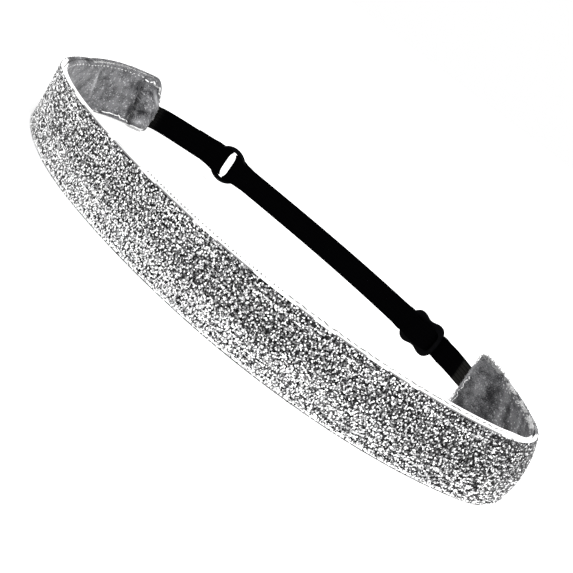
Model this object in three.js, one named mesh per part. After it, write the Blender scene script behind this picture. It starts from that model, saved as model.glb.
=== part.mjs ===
import * as THREE from 'three';

// Adjustable sport headband: a glitter ribbon lined with velvet in front, an elastic strap with a ring and
// a slider behind. It stands on the lower edge of the ribbon.
// Millimetres, +Z up, front of the band towards -Y.

// Band: plies are counted from the outer face inwards, with a little air between neighbours.
const BAND_WIDTH = 25.4;
const RIBBON_THICKNESS = 1.5;
const LINING_THICKNESS = 1;
const LINING_INSET = 0.5;
const PLY_GAP = 0.3;
const BAND_STEP = 4.4;
const BAND_ROWS = 6;
const CORNER_STEPS = 8;

// Plan of the band from the front centre outwards, one arc a row.
// At the far end of the arc, lean is the inward slope of the wall in degrees, and bow is how far the wall
// bulges outwards halfway up.
const FRONT_LEAN = 2;
const RIGHT_ARCS = [
  { length: 56, radius: 149, lean: 5.5, bow: 0 },
  { length: 51, radius: 132, lean: 7.2, bow: 1 },
  { length: 51, radius: 39.5, lean: 11.6, bow: 3 },
  { length: 40, radius: 66, lean: 10.6, bow: 0.5 },
];
const LEFT_ARCS = [
  { length: 56, radius: 186, lean: 1, bow: 0 },
  { length: 51, radius: 100, lean: -3.9, bow: 0 },
  { length: 34, radius: 64, lean: 9.4, bow: 0 },
  { length: 17, radius: 75, lean: 8.4, bow: 0 },
  { length: 41, radius: 59, lean: 4.5, bow: 0 },
];

// Elastic: the strap's ends are tucked between the lining and the end flaps.
const LONG_STRAP_WIDTH = 10;
const SHORT_STRAP_WIDTH = 11;
const STRAP_THICKNESS = 1;
const STRAP_STEP = 5;
const GLIDE_STEPS = 8;
const TURN_STEPS = 8;
const TUCK_LENGTH = 10;
const TUCK_POINTS = 4;
const BEND_SHARE = 0.36;
const POCKET_SHARE = 0.14;
const TAIL_LENGTH = 7;

// Ends of the band: side is -1 at the left and 1 at the right. Each corner is a quarter of an ellipse, with
// its length along the band, and strapHeight is up the wall to the middle of the strap.
// The flap is a fold of velvet over the strap's end, with its bulges counted from the lower edge up.
const ENDS = {
  left: {
    side: -1,
    topCorner: { length: 9.5, height: 20 },
    lowCorner: { length: 1.5, height: 2 },
    strapHeight: 9.2,
    strapWidth: SHORT_STRAP_WIDTH,
    flapLength: 11.5,
    flapInset: 1,
    bulges: [{ at: 5, reach: 4, rise: 0.8 }, { at: 15.5, reach: 6.5, rise: 1.1 }],
  },
  right: {
    side: 1,
    topCorner: { length: 1, height: 1 },
    lowCorner: { length: 1, height: 1 },
    strapHeight: 13,
    strapWidth: LONG_STRAP_WIDTH,
    flapLength: 14.5,
    flapInset: 0.4,
    bulges: [{ at: 13, reach: 9, rise: 0.3 }],
  },
};
const FLAP_THICKNESS = 1;
const FLAP_SLOPE = 2.4;
const FLAP_PINCH = 4;
const FLAP_COLUMNS = 10;
const FLAP_ROWS = 26;

// Hardware: both lie flat in a straight stretch of the strap. x and y are from the front centre of the band,
// and heading is the direction of the strap there, in degrees.
const RING = { x: -60.5, y: 121.5, z: 12.7, heading: 4, reach: 9, radius: 7.15, wire: 1.05 };
const SLIDER = { x: 49.7, y: 119, z: 12, heading: -9, reach: 10, thickness: 1.6 };
const RING_SIDES = 10;
const RING_STEPS = 40;
const RING_FOLD = 3.95;
const RING_SPREAD = 10.8;
const SLIDER_HALF_LENGTH = 8.6;
const SLIDER_HALF_HEIGHT = 7.4;
const SLIDER_CREST = 4.2;
const SLIDER_WAIST = 1;
const SLIDER_ROUNDING = 2.5;
const SLIDER_BAR = 2.2;
const SLIDER_SIDE_BAR = 1.9;
const SLIDER_SLOT_HEIGHT = 10.3;
const SLIDER_SLOT_CORNER = 0.8;
const SLIDER_EDGE = 0.3;
const SLIDER_STEPS = 12;
const SLIDER_SLOT_STEPS = 3;

// Depths of the plies below the ribbon's outer face.
const LINING_DEPTH = RIBBON_THICKNESS + PLY_GAP;
const POCKET_DEPTH = LINING_DEPTH + LINING_THICKNESS + PLY_GAP;
const TUCK_DEPTH = POCKET_DEPTH + STRAP_THICKNESS / 2;
const FLAP_LIFT = STRAP_THICKNESS + PLY_GAP;

const sum = (rows) => rows.reduce((total, row) => total + row.length, 0);
const bandEnd = (end) => (end.side < 0 ? -sum(LEFT_ARCS) : sum(RIGHT_ARCS));
const countTo = (count) => [...Array(count).keys()];

function smooth(share) {
  const t = THREE.MathUtils.clamp(share, 0, 1);
  return t * t * (3 - 2 * t);
}

// Where the outer face of the band meets the floor, at a distance along the band from the front centre.
function bandAt(along) {
  const side = along < 0 ? -1 : 1;
  const place = { x: 0, y: 0, heading: 0, lean: FRONT_LEAN, bow: 0 };
  let left = Math.abs(along);
  for (const arc of side < 0 ? LEFT_ARCS : RIGHT_ARCS) {
    const run = Math.min(left, arc.length);
    const turned = place.heading + run / arc.radius;
    place.x += arc.radius * (Math.sin(turned) - Math.sin(place.heading));
    place.y += arc.radius * (Math.cos(place.heading) - Math.cos(turned));
    place.heading = turned;
    place.lean += (arc.lean - place.lean) * run / arc.length;
    place.bow += (arc.bow - place.bow) * run / arc.length;
    left -= run;
  }
  return {
    point: new THREE.Vector2(side * place.x, place.y),
    out: new THREE.Vector2(side * Math.sin(place.heading), -Math.cos(place.heading)),
    lean: THREE.MathUtils.degToRad(place.lean),
    bow: place.bow,
  };
}

// A point of the band's wall: height is up the leaning face, depth is inwards from it.
function bandPoint(along, height, depth) {
  const { point, out, lean, bow } = bandAt(along);
  const share = height / BAND_WIDTH;
  const inward = depth + height * Math.sin(lean) - 4 * bow * share * (1 - share);
  return new THREE.Vector3(point.x - out.x * inward, point.y - out.y * inward, height * Math.cos(lean));
}

// How much a rounded corner takes off the wall's edge, at a distance from the band's end.
function cornerCut(corner, fromEnd) {
  const inside = Math.max(1 - fromEnd / corner.length, 0);
  return corner.height * (1 - Math.sqrt(1 - inside * inside));
}

// Lowest and highest point of a ply at a distance along the band, set in from the ribbon's edges all round.
function wallEdges(along, inset) {
  const end = along < 0 ? ENDS.left : ENDS.right;
  const fromEnd = Math.abs(bandEnd(end) - along) - inset;
  return {
    low: inset + cornerCut(end.lowCorner, fromEnd),
    high: BAND_WIDTH - inset - cornerCut(end.topCorner, fromEnd),
  };
}

// Distances along the band from a ply's left end to its right end, closer together round the corners.
function bandStations(inset) {
  const corner = (end) => countTo(CORNER_STEPS + 1).map((i) => {
    const angle = i / CORNER_STEPS * Math.PI / 2;
    return bandEnd(end) - end.side * (inset + end.topCorner.length * (1 - Math.cos(angle)));
  });
  const left = corner(ENDS.left);
  const right = corner(ENDS.right).reverse();
  const length = right[0] - left.at(-1);
  const count = Math.round(length / BAND_STEP);
  const between = countTo(count).slice(1).map((i) => left.at(-1) + length * i / count);
  return [...left, ...between, ...right];
}

// Closed solid between two grids of points, with the front on the right of a walk along the rows.
function slab(front, back) {
  const rows = front.length;
  const columns = front[0].length;
  const index = [];
  const id = (side, i, j) => (side * rows + i) * columns + j;
  const quad = (a, b, c, d) => index.push(a, b, c, a, c, d);
  for (let i = 0; i < rows - 1; i += 1) {
    for (let j = 0; j < columns - 1; j += 1) {
      quad(id(0, i, j), id(0, i + 1, j), id(0, i + 1, j + 1), id(0, i, j + 1));
      quad(id(1, i, j), id(1, i, j + 1), id(1, i + 1, j + 1), id(1, i + 1, j));
    }
    const top = columns - 1;
    quad(id(0, i, 0), id(1, i, 0), id(1, i + 1, 0), id(0, i + 1, 0));
    quad(id(0, i, top), id(0, i + 1, top), id(1, i + 1, top), id(1, i, top));
  }
  for (let j = 0; j < columns - 1; j += 1) {
    const last = rows - 1;
    quad(id(0, 0, j), id(0, 0, j + 1), id(1, 0, j + 1), id(1, 0, j));
    quad(id(0, last, j), id(1, last, j), id(1, last, j + 1), id(0, last, j + 1));
  }
  const geometry = new THREE.BufferGeometry().setFromPoints([...front.flat(), ...back.flat()]);
  geometry.setIndex(index);
  geometry.computeVertexNormals();
  return geometry;
}

// One ply of the band from end to end.
function bandPly(depth, thickness, inset) {
  const face = (at) => bandStations(inset).map((along) => {
    const { low, high } = wallEdges(along, inset);
    const step = (high - low) / (BAND_ROWS - 1);
    return countTo(BAND_ROWS).map((j) => bandPoint(along, low + step * j, at));
  });
  return slab(face(depth), face(depth + thickness));
}

// Velvet fold over the strap's end: it clears the strap and lies on the lining above and below it.
function endFlap(end) {
  const overStrap = (height) => {
    const past = Math.abs(height - end.strapHeight) - end.strapWidth / 2 - FLAP_SLOPE / 2;
    return FLAP_LIFT * smooth(1 - past / FLAP_SLOPE);
  };
  const swell = (height, share) => end.bulges.reduce((most, bulge) => {
    const off = Math.min(Math.abs(height - bulge.at) / bulge.reach, 1);
    const pinched = 1 - Math.abs(2 * share - 1) ** FLAP_PINCH;
    return Math.max(most, bulge.rise * pinched * Math.cos(off * Math.PI / 2) ** 2);
  }, 0);
  const lengthShares = countTo(FLAP_COLUMNS).map((i) => 1 - Math.cos(i / (FLAP_COLUMNS - 1) * Math.PI / 2));
  const columns = end.side < 0 ? lengthShares : lengthShares.reverse();
  const face = (isFront) => columns.map((share) => {
    const along = bandEnd(end) - end.side * (end.flapInset + end.flapLength * share);
    const { low, high } = wallEdges(along, end.flapInset);
    return countTo(FLAP_ROWS).map((j) => {
      const height = low + (high - low) * j / (FLAP_ROWS - 1);
      const back = POCKET_DEPTH + overStrap(height);
      return bandPoint(along, height, isFront ? back + FLAP_THICKNESS + swell(height, share) : back);
    });
  });
  return slab(face(false), face(true));
}

// Route of the strap in plan, from inside the left pocket round the back to inside the right one.
function strapRoute() {
  const tuck = (end) => {
    const points = countTo(TUCK_POINTS).map((i) => {
      const inside = TUCK_LENGTH * (1 - i / (TUCK_POINTS - 1));
      const { x, y } = bandPoint(bandEnd(end) - end.side * inside, end.strapHeight, TUCK_DEPTH);
      return new THREE.Vector2(x, y);
    });
    return new THREE.SplineCurve(end.side < 0 ? points : points.reverse());
  };
  const straight = (place) => {
    const angle = THREE.MathUtils.degToRad(place.heading);
    const reach = new THREE.Vector2(Math.cos(angle), Math.sin(angle)).multiplyScalar(place.reach);
    const middle = new THREE.Vector2(place.x, place.y);
    return new THREE.LineCurve(middle.clone().sub(reach), middle.clone().add(reach));
  };
  // A free bend, which turns more sharply where it leaves a pocket than where it meets the hardware.
  const bend = (before, after) => {
    const from = before.curve.getPoint(1);
    const to = after.curve.getPoint(0);
    const span = from.distanceTo(to);
    const leave = from.clone().addScaledVector(before.curve.getTangent(1), span * before.share);
    const arrive = to.clone().addScaledVector(after.curve.getTangent(0), -span * after.share);
    return new THREE.CubicBezierCurve(from, leave, arrive, to);
  };
  const held = [
    { curve: tuck(ENDS.left), share: POCKET_SHARE },
    { curve: straight(RING), share: BEND_SHARE },
    { curve: straight(SLIDER), share: BEND_SHARE },
    { curve: tuck(ENDS.right), share: POCKET_SHARE },
  ];
  const route = new THREE.CurvePath();
  held.forEach((stretch, i) => {
    if (i > 0) route.add(bend(held[i - 1], stretch));
    route.add(stretch.curve);
  });
  return route;
}

const route = strapRoute();
const routeMarks = [0, ...route.getCurveLengths()];
const ROUTE_LENGTH = routeMarks.at(-1);
const RING_AT = (routeMarks[2] + routeMarks[3]) / 2;
const SLIDER_AT = (routeMarks[4] + routeMarks[5]) / 2;

// Height of the strap's middle and its lean at each mark of the route: it follows the wall in both pockets
// and stands upright at the hardware.
const strapStops = (() => {
  const pocket = (end, inside) => {
    const { lean } = bandAt(bandEnd(end) - end.side * inside);
    return { z: end.strapHeight * Math.cos(lean), lean };
  };
  return [
    pocket(ENDS.left, TUCK_LENGTH),
    pocket(ENDS.left, 0),
    { z: RING.z, lean: 0 },
    { z: RING.z, lean: 0 },
    { z: SLIDER.z, lean: 0 },
    { z: SLIDER.z, lean: 0 },
    pocket(ENDS.right, 0),
    pocket(ENDS.right, TUCK_LENGTH),
  ];
})();

// A point of the strap: depth is towards the head, across is up its width.
function strapPoint(along, depth, across) {
  const share = THREE.MathUtils.clamp(along / ROUTE_LENGTH, 0, 1);
  const middle = route.getPoint(share);
  const tangent = route.getTangent(share);
  const stop = Math.max(routeMarks.findIndex((mark) => mark >= along), 1);
  const t = (along - routeMarks[stop - 1]) / (routeMarks[stop] - routeMarks[stop - 1]);
  const z = THREE.MathUtils.lerp(strapStops[stop - 1].z, strapStops[stop].z, t);
  const lean = THREE.MathUtils.lerp(strapStops[stop - 1].lean, strapStops[stop].lean, t);
  const inward = depth + across * Math.sin(lean);
  return new THREE.Vector3(
    middle.x + tangent.y * inward,
    middle.y - tangent.x * inward,
    z + across * Math.cos(lean),
  );
}

// Middle line of a strip between rows of { along, depth }: straight where the depth holds, else a slope
// with soft ends.
function glide(rows) {
  return rows.slice(1).flatMap((to, k) => {
    const from = rows[k];
    const length = Math.abs(to.along - from.along);
    const steps = from.depth === to.depth ? Math.ceil(length / STRAP_STEP) : GLIDE_STEPS;
    return countTo(steps).map((i) => new THREE.Vector2(
      THREE.MathUtils.lerp(from.along, to.along, i / steps),
      THREE.MathUtils.lerp(from.depth, to.depth, smooth(i / steps)),
    ));
  });
}

// Half turn of a strip round a bar, bulging towards 'side' along the strap and ending on the other face.
function halfTurn(along, depth, side) {
  return countTo(TURN_STEPS + 1).map((i) => {
    const angle = Math.PI / 2 - Math.PI * i / TURN_STEPS;
    const reach = Math.abs(depth) * Math.cos(angle);
    return new THREE.Vector2(along + side * reach, depth * Math.sin(angle));
  });
}

// Flat strip of elastic along a middle line of (along, depth) points. Its width changes where it wraps the
// ring.
function strip(line, width) {
  const halfWidth = (along) => {
    const past = Math.abs(along - RING_AT) - RING_FOLD;
    return THREE.MathUtils.lerp(width, RING_SPREAD, smooth(1 - past / EASE)) / 2;
  };
  const normals = line.map((_, i) => {
    const before = line[Math.max(i - 1, 0)];
    const after = line[Math.min(i + 1, line.length - 1)];
    const run = after.clone().sub(before).normalize();
    return new THREE.Vector2(-run.y, run.x);
  });
  const face = (side) => line.map((point, i) => {
    const at = point.clone().addScaledVector(normals[i], side * STRAP_THICKNESS / 2);
    return [-1, 1].map((edge) => strapPoint(at.x, at.y, edge * halfWidth(point.x)));
  });
  return slab(face(1), face(-1));
}

// Depths of the strap's layers: side by side where it is doubled, and clear of the hardware on each face.
const LAYER = (STRAP_THICKNESS + PLY_GAP) / 2;
const RING_LAYER = RING.wire + PLY_GAP + STRAP_THICKNESS / 2;
const SLIDER_LAYER = SLIDER.thickness / 2 + PLY_GAP + STRAP_THICKNESS / 2;
const SLIDER_OVER = SLIDER_LAYER + STRAP_THICKNESS + 2 * PLY_GAP;
const RING_EDGE = RING.radius + RING.wire;
const EASE = 4;

// Rows of a layer as it comes up to the ring from one side and reaches its fold line.
function towardsRing(side, face) {
  return [
    { along: RING_AT + side * (RING_EDGE + EASE), depth: face * LAYER },
    { along: RING_AT + side * RING_EDGE, depth: face * RING_LAYER },
    { along: RING_AT + side * RING_FOLD, depth: face * RING_LAYER },
  ];
}

// Short loop: out of the left pocket, through the ring and back to its own sewn tail.
function shortStrapLine() {
  const back = towardsRing(-1, -1).reverse();
  const tail = { along: back.at(-1).along - TAIL_LENGTH, depth: -LAYER };
  return [
    ...glide([{ along: 0, depth: 0 }, { along: routeMarks[1], depth: 0 }, ...towardsRing(-1, 1)]),
    ...halfTurn(RING_AT - RING_FOLD, RING_LAYER, 1),
    ...glide([...back, tail]).slice(1),
    new THREE.Vector2(tail.along, tail.depth),
  ];
}

// Long strap: right pocket, behind the slider's side bar, over its middle, round the ring, and back to the
// slider, where its end is folded round the middle bar.
function longStrapLine() {
  const wrap = SLIDER_AT + SLIDER_BAR / 2 - PLY_GAP / 2;
  const slotEdge = SLIDER_AT + SLIDER_HALF_LENGTH - SLIDER_SIDE_BAR;
  const rightEdge = SLIDER_AT + SLIDER_HALF_LENGTH;
  const leftEdge = SLIDER_AT - SLIDER_HALF_LENGTH;
  const wrapEnd = { along: SLIDER_AT - SLIDER_BAR, depth: SLIDER_LAYER };
  return [
    ...glide([
      { along: ROUTE_LENGTH, depth: 0 },
      { along: routeMarks[6], depth: 0 },
      { along: rightEdge + EASE, depth: 0 },
      { along: rightEdge, depth: -SLIDER_LAYER },
      { along: slotEdge + PLY_GAP, depth: -SLIDER_LAYER },
      { along: wrap, depth: SLIDER_OVER },
      { along: SLIDER_AT - SLIDER_BAR - PLY_GAP, depth: SLIDER_OVER },
      { along: leftEdge + SLIDER_SIDE_BAR, depth: SLIDER_LAYER },
      { along: leftEdge, depth: SLIDER_LAYER },
      { along: leftEdge - EASE, depth: LAYER },
      ...towardsRing(1, 1),
    ]),
    ...halfTurn(RING_AT + RING_FOLD, RING_LAYER, -1),
    ...glide([
      ...towardsRing(1, -1).reverse(),
      { along: leftEdge - EASE, depth: -LAYER },
      { along: leftEdge, depth: -SLIDER_LAYER },
      { along: wrap, depth: -SLIDER_LAYER },
    ]).slice(1),
    ...halfTurn(wrap, -SLIDER_LAYER, 1),
    new THREE.Vector2(wrapEnd.along, wrapEnd.depth),
  ];
}

// Ring of round wire.
function ringWire() {
  return new THREE.TorusGeometry(RING.radius, RING.wire, RING_SIDES, RING_STEPS);
}

// Slider plate: two round lobes with a shallow waist, and a slot in each lobe beside the middle bar.
function sliderPlate() {
  const lobe = SLIDER_HALF_LENGTH - SLIDER_CREST;
  const halfHeight = (x) => {
    if (x <= SLIDER_CREST) {
      return SLIDER_HALF_HEIGHT - SLIDER_WAIST * Math.cos(x / SLIDER_CREST * Math.PI / 2) ** 2;
    }
    const share = (x - SLIDER_CREST) / lobe;
    return SLIDER_HALF_HEIGHT * Math.max(1 - share ** SLIDER_ROUNDING, 0) ** (1 / SLIDER_ROUNDING);
  };
  const quarter = countTo(SLIDER_STEPS + 1).map((i) => {
    const x = SLIDER_HALF_LENGTH * Math.sin(i / SLIDER_STEPS * Math.PI / 2);
    return new THREE.Vector2(x, halfHeight(x));
  });
  const upper = [...quarter.slice(1).reverse(), ...quarter.map(({ x, y }) => new THREE.Vector2(-x, y))];
  const lower = upper.slice(1, -1).map(({ x, y }) => new THREE.Vector2(-x, -y));
  const outline = new THREE.Shape([...upper, ...lower]);
  const near = SLIDER_BAR / 2;
  const far = SLIDER_HALF_LENGTH - SLIDER_SIDE_BAR;
  const half = SLIDER_SLOT_HEIGHT / 2;
  for (const side of [-1, 1]) {
    const middle = side * (near + far) / 2;
    const reach = (far - near) / 2 - SLIDER_SLOT_CORNER;
    const rise = half - SLIDER_SLOT_CORNER;
    const slot = new THREE.Path();
    slot.absarc(middle + reach, rise, SLIDER_SLOT_CORNER, 0, Math.PI / 2);
    slot.absarc(middle - reach, rise, SLIDER_SLOT_CORNER, Math.PI / 2, Math.PI);
    slot.absarc(middle - reach, -rise, SLIDER_SLOT_CORNER, Math.PI, Math.PI * 3 / 2);
    slot.absarc(middle + reach, -rise, SLIDER_SLOT_CORNER, Math.PI * 3 / 2, Math.PI * 2);
    slot.closePath();
    outline.holes.push(slot);
  }
  const geometry = new THREE.ExtrudeGeometry(outline, {
    depth: SLIDER.thickness - 2 * SLIDER_EDGE,
    bevelThickness: SLIDER_EDGE,
    bevelSize: SLIDER_EDGE,
    bevelOffset: -SLIDER_EDGE,
    bevelSegments: 1,
    curveSegments: SLIDER_SLOT_STEPS,
  });
  return geometry.translate(0, 0, SLIDER_EDGE - SLIDER.thickness / 2);
}

// Turns a piece of hardware so that its length follows the strap and its height stands up.
function seat(mesh, place) {
  mesh.position.set(place.x, place.y, place.z);
  mesh.rotation.set(Math.PI / 2, THREE.MathUtils.degToRad(place.heading), 0, 'ZXY');
  return mesh;
}

const glitter = new THREE.MeshStandardMaterial({ color: 0xb9b9bb, roughness: 0.35, metalness: 0.6 });
const velvet = new THREE.MeshStandardMaterial({ color: 0x6b6b6d, roughness: 0.95, metalness: 0 });
const elastic = new THREE.MeshStandardMaterial({ color: 0x0b0b0c, roughness: 0.9, metalness: 0 });
const nylon = new THREE.MeshStandardMaterial({ color: 0x060607, roughness: 0.35, metalness: 0 });

function piece(name, geometry, material) {
  const mesh = new THREE.Mesh(geometry, material);
  mesh.name = name;
  return mesh;
}

const headband = new THREE.Group();
headband.name = 'headband';
headband.add(
  piece('glitter_ribbon', bandPly(0, RIBBON_THICKNESS, 0), glitter),
  piece('velvet_lining', bandPly(LINING_DEPTH, LINING_THICKNESS, LINING_INSET), velvet),
  piece('left_end_flap', endFlap(ENDS.left), velvet),
  piece('right_end_flap', endFlap(ENDS.right), velvet),
  piece('strap_short', strip(shortStrapLine(), SHORT_STRAP_WIDTH), elastic),
  piece('strap_long', strip(longStrapLine(), LONG_STRAP_WIDTH), elastic),
  seat(piece('adjuster_ring', ringWire(), nylon), RING),
  seat(piece('adjuster_slider', sliderPlate(), nylon), SLIDER),
);

// The origin is the middle of the floor under the whole loop.
const box = new THREE.Box3().setFromObject(headband, true);
const middle = box.getCenter(new THREE.Vector3());
headband.position.set(-middle.x, -middle.y, -box.min.z);

export default headband;
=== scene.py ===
"""Looks of an adjustable sport headband: glitter ribbon, velvet lining, elastic strap and its hardware.

Shapes are worked out in millimetres on the plan that the CAD was drawn on, with the front centre of
the band at the origin and the back towards +Y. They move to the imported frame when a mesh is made.
"""

import logging
import math
from collections.abc import Callable
from dataclasses import dataclass, field
from enum import Enum, IntEnum

import bpy
import numpy as np
from mathutils import Matrix, Vector


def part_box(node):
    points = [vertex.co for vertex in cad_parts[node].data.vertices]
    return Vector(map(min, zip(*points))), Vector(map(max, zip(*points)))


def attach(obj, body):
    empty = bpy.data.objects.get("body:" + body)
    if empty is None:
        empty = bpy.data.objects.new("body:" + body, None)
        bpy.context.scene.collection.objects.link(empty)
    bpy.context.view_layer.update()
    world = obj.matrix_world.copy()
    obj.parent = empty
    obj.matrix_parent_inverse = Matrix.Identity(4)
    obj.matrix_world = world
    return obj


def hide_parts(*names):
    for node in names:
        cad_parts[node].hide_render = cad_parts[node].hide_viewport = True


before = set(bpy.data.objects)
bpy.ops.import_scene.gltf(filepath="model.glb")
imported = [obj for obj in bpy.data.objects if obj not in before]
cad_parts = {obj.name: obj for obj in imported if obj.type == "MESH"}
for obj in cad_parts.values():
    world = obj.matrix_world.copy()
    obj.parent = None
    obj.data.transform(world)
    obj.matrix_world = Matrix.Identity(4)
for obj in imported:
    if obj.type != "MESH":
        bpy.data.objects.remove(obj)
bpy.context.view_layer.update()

LOG = logging.getLogger("headband")
MM = 0.001
BAKE_MAP = "OFBake"

Array = np.ndarray
Socket = bpy.types.NodeSocket
NodeTree = bpy.types.NodeTree
Material = bpy.types.Material
Piece = bpy.types.Object
Span = tuple[float, float]
Triple = tuple[float, float, float]
Path = tuple[Span, ...]
DepthAt = Callable[[Array, Array], Array]


class Slot(Enum):
    """Material slots of the record."""

    GLITTER = "glitter_ribbon"
    VELVET = "velvet"
    ELASTIC = "elastic"
    HARDWARE = "hardware"


class Hold(Enum):
    """How a sheet of cloth is held in shape."""

    STRETCHED = "stretched"
    FOLDED = "folded"


class RibbonFace(IntEnum):
    """Material numbers of the ribbon's faces."""

    WOVEN = 0
    FILM = 1
    NAP = 2
    RIM_SHADE = 3


class LiningFace(IntEnum):
    """Material numbers of the lining's faces."""

    VELVET = 0
    WOVEN = 1


class Seed(IntEnum):
    """Seeds of what is random; a flap's thread and fibres take the two after its own."""

    FLAKES = 11
    FLAKE_THREAD = 22
    RIM_SHADE_GAPS = 23
    FLAKE_PATCHES = 24
    EDGE_STITCHES = 31
    LINING_STITCHES = 41
    LINING_WAVES = 42
    LINING_FIBRES = 43
    LEFT_FLAP = 51
    RIGHT_FLAP = 55


# Small helpers


def linear(code: str) -> tuple[float, float, float, float]:
    """Turns an sRGB hex colour into a linear one.

    Args:
        code: Colour as "#RRGGBB".

    Returns:
        Red, green, blue and a full alpha.
    """
    parts = [int(code[k : k + 2], 16) / 255 for k in (1, 3, 5)]
    red, green, blue = (to_linear(part) for part in parts)
    return float(red), float(green), float(blue), 1.0


def to_linear(value: Array | float) -> Array | float:
    """Linear light of sRGB values from 0 to 1."""
    share = np.asarray(value)
    return np.where(share < 0.04045, share / 12.92, ((share + 0.055) / 1.055) ** 2.4)


def smooth(share: Array) -> Array:
    """Soft step from 0 to 1 as share goes from 0 to 1."""
    part = np.clip(share, 0.0, 1.0)
    return part * part * (3 - 2 * part)


def ramp(value: Array, start: float, full: float) -> Array:
    """Soft step from 0 to 1 as value goes from start to full, which may lie on either side of it."""
    return smooth((value - start) / (full - start))


def bell(off: Array) -> Array:
    """Bell curve that is 1 in the middle and has dropped to 1/e at 1 on both sides."""
    return np.exp(-(off**2))


def unit(vectors: Array) -> Array:
    """Vectors of length one along the last axis."""
    return vectors / np.linalg.norm(vectors, axis=-1, keepdims=True)


def distances(points: Array) -> Array:
    """Distance of each point of a line from its first one, along the line."""
    steps = np.linalg.norm(np.diff(points, axis=0), axis=1)
    return np.concatenate([[0.0], np.cumsum(steps)])


def value_noise(u: Array, v: Array, seed: int) -> Array:
    """Smooth random field with one lattice point a unit.

    Args:
        u: First coordinates.
        v: Second coordinates, of the same shape.
        seed: Seed of the lattice.

    Returns:
        Values from 0 to 1.
    """
    u = u - np.floor(u.min())
    v = v - np.floor(v.min())
    lattice = np.random.default_rng(seed).random((int(u.max()) + 2, int(v.max()) + 2))
    i = u.astype(int)
    j = v.astype(int)
    a = smooth(u - i)
    b = smooth(v - j)
    low = lattice[i, j] * (1 - a) + lattice[i + 1, j] * a
    high = lattice[i, j + 1] * (1 - a) + lattice[i + 1, j + 1] * a
    return low * (1 - b) + high * b


def beyond(along: Array, stretch: Span, inward: Array) -> Array:
    """Which strips between stations lie beyond a stretch that is cut shorter by inward, column by column."""
    return (along[1:, None] < stretch[0] + inward) | (along[:-1, None] > stretch[1] - inward)


def blur(grid: Array, sigma: float, axis: int) -> Array:
    """Grid smoothed along one axis by a normal curve of this width in cells."""
    reach = np.arange(-9, 10)
    weights = np.exp(-((reach / sigma) ** 2) / 2)
    return np.apply_along_axis(np.convolve, axis, grid, weights / weights.sum(), "same")


def speckle(shape: tuple[int, int], rng: np.random.Generator, drawn_out: float) -> Array:
    """Noise whose light and dark alternate within a few cells.

    Args:
        shape: Shape of the grid.
        rng: Source of the noise.
        drawn_out: How much longer the spots are along the first axis.

    Returns:
        Values round zero with a spread of one.
    """
    noise = rng.normal(size=shape)
    fine, wide = (blur(blur(noise, cells * drawn_out, 0), cells, 1) for cells in (0.42, 1.6))
    band = fine - wide
    return band / band.std()


# Meshes


@dataclass
class MeshData:
    """Points and faces of a mesh in the making.

    Attributes:
        points: Points in millimetres on the band's plan.
        faces: Arrays of point numbers, one array for each kind of face.
        maps: Pattern coordinates of the faces' corners, one array for each array of faces.
        slots: Material numbers of the faces, one array for each array of faces.
    """

    points: Array
    faces: list[Array]
    maps: list[Array]
    slots: list[Array]

    def build(self, name: str, materials: list[Material], origin: Array, is_smooth: bool = True) -> Piece:
        """Makes the object and links it to the scene.

        Args:
            name: Name of the piece.
            materials: Materials in the order of the slot numbers.
            origin: Place of the plan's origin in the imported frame, in millimetres.
            is_smooth: Whether the faces are shaded smooth.

        Returns:
            The new object, in metres.
        """
        mesh = bpy.data.meshes.new(name)
        counts = np.concatenate([np.full(len(group), group.shape[1]) for group in self.faces])
        corners = np.concatenate([group.ravel() for group in self.faces])
        mesh.vertices.add(len(self.points))
        mesh.vertices.foreach_set("co", ((self.points + origin) * MM).ravel())
        mesh.loops.add(len(corners))
        mesh.loops.foreach_set("vertex_index", corners.astype(np.int32))
        mesh.polygons.add(len(counts))
        mesh.polygons.foreach_set("loop_start", (np.cumsum(counts) - counts).astype(np.int32))
        mesh.polygons.foreach_set("material_index", np.concatenate(self.slots).astype(np.int32))
        mesh.update(calc_edges=True)
        layer = mesh.uv_layers.new(name=BAKE_MAP)
        layer.uv.foreach_set("vector", np.concatenate([part.reshape(-1, 2) for part in self.maps]).ravel())
        mesh.polygons.foreach_set("use_smooth", np.full(len(counts), is_smooth))
        for material in materials:
            mesh.materials.append(material)
        piece = bpy.data.objects.new(name, mesh)
        bpy.context.scene.collection.objects.link(piece)
        return piece


def grid_quads(grid: Array) -> Array:
    """Corner values of the quads of a grid, four a quad."""
    corners = [grid[:-1, :-1], grid[1:, :-1], grid[1:, 1:], grid[:-1, 1:]]
    return np.stack(corners, axis=2).reshape((-1, 4) + grid.shape[2:])


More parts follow.
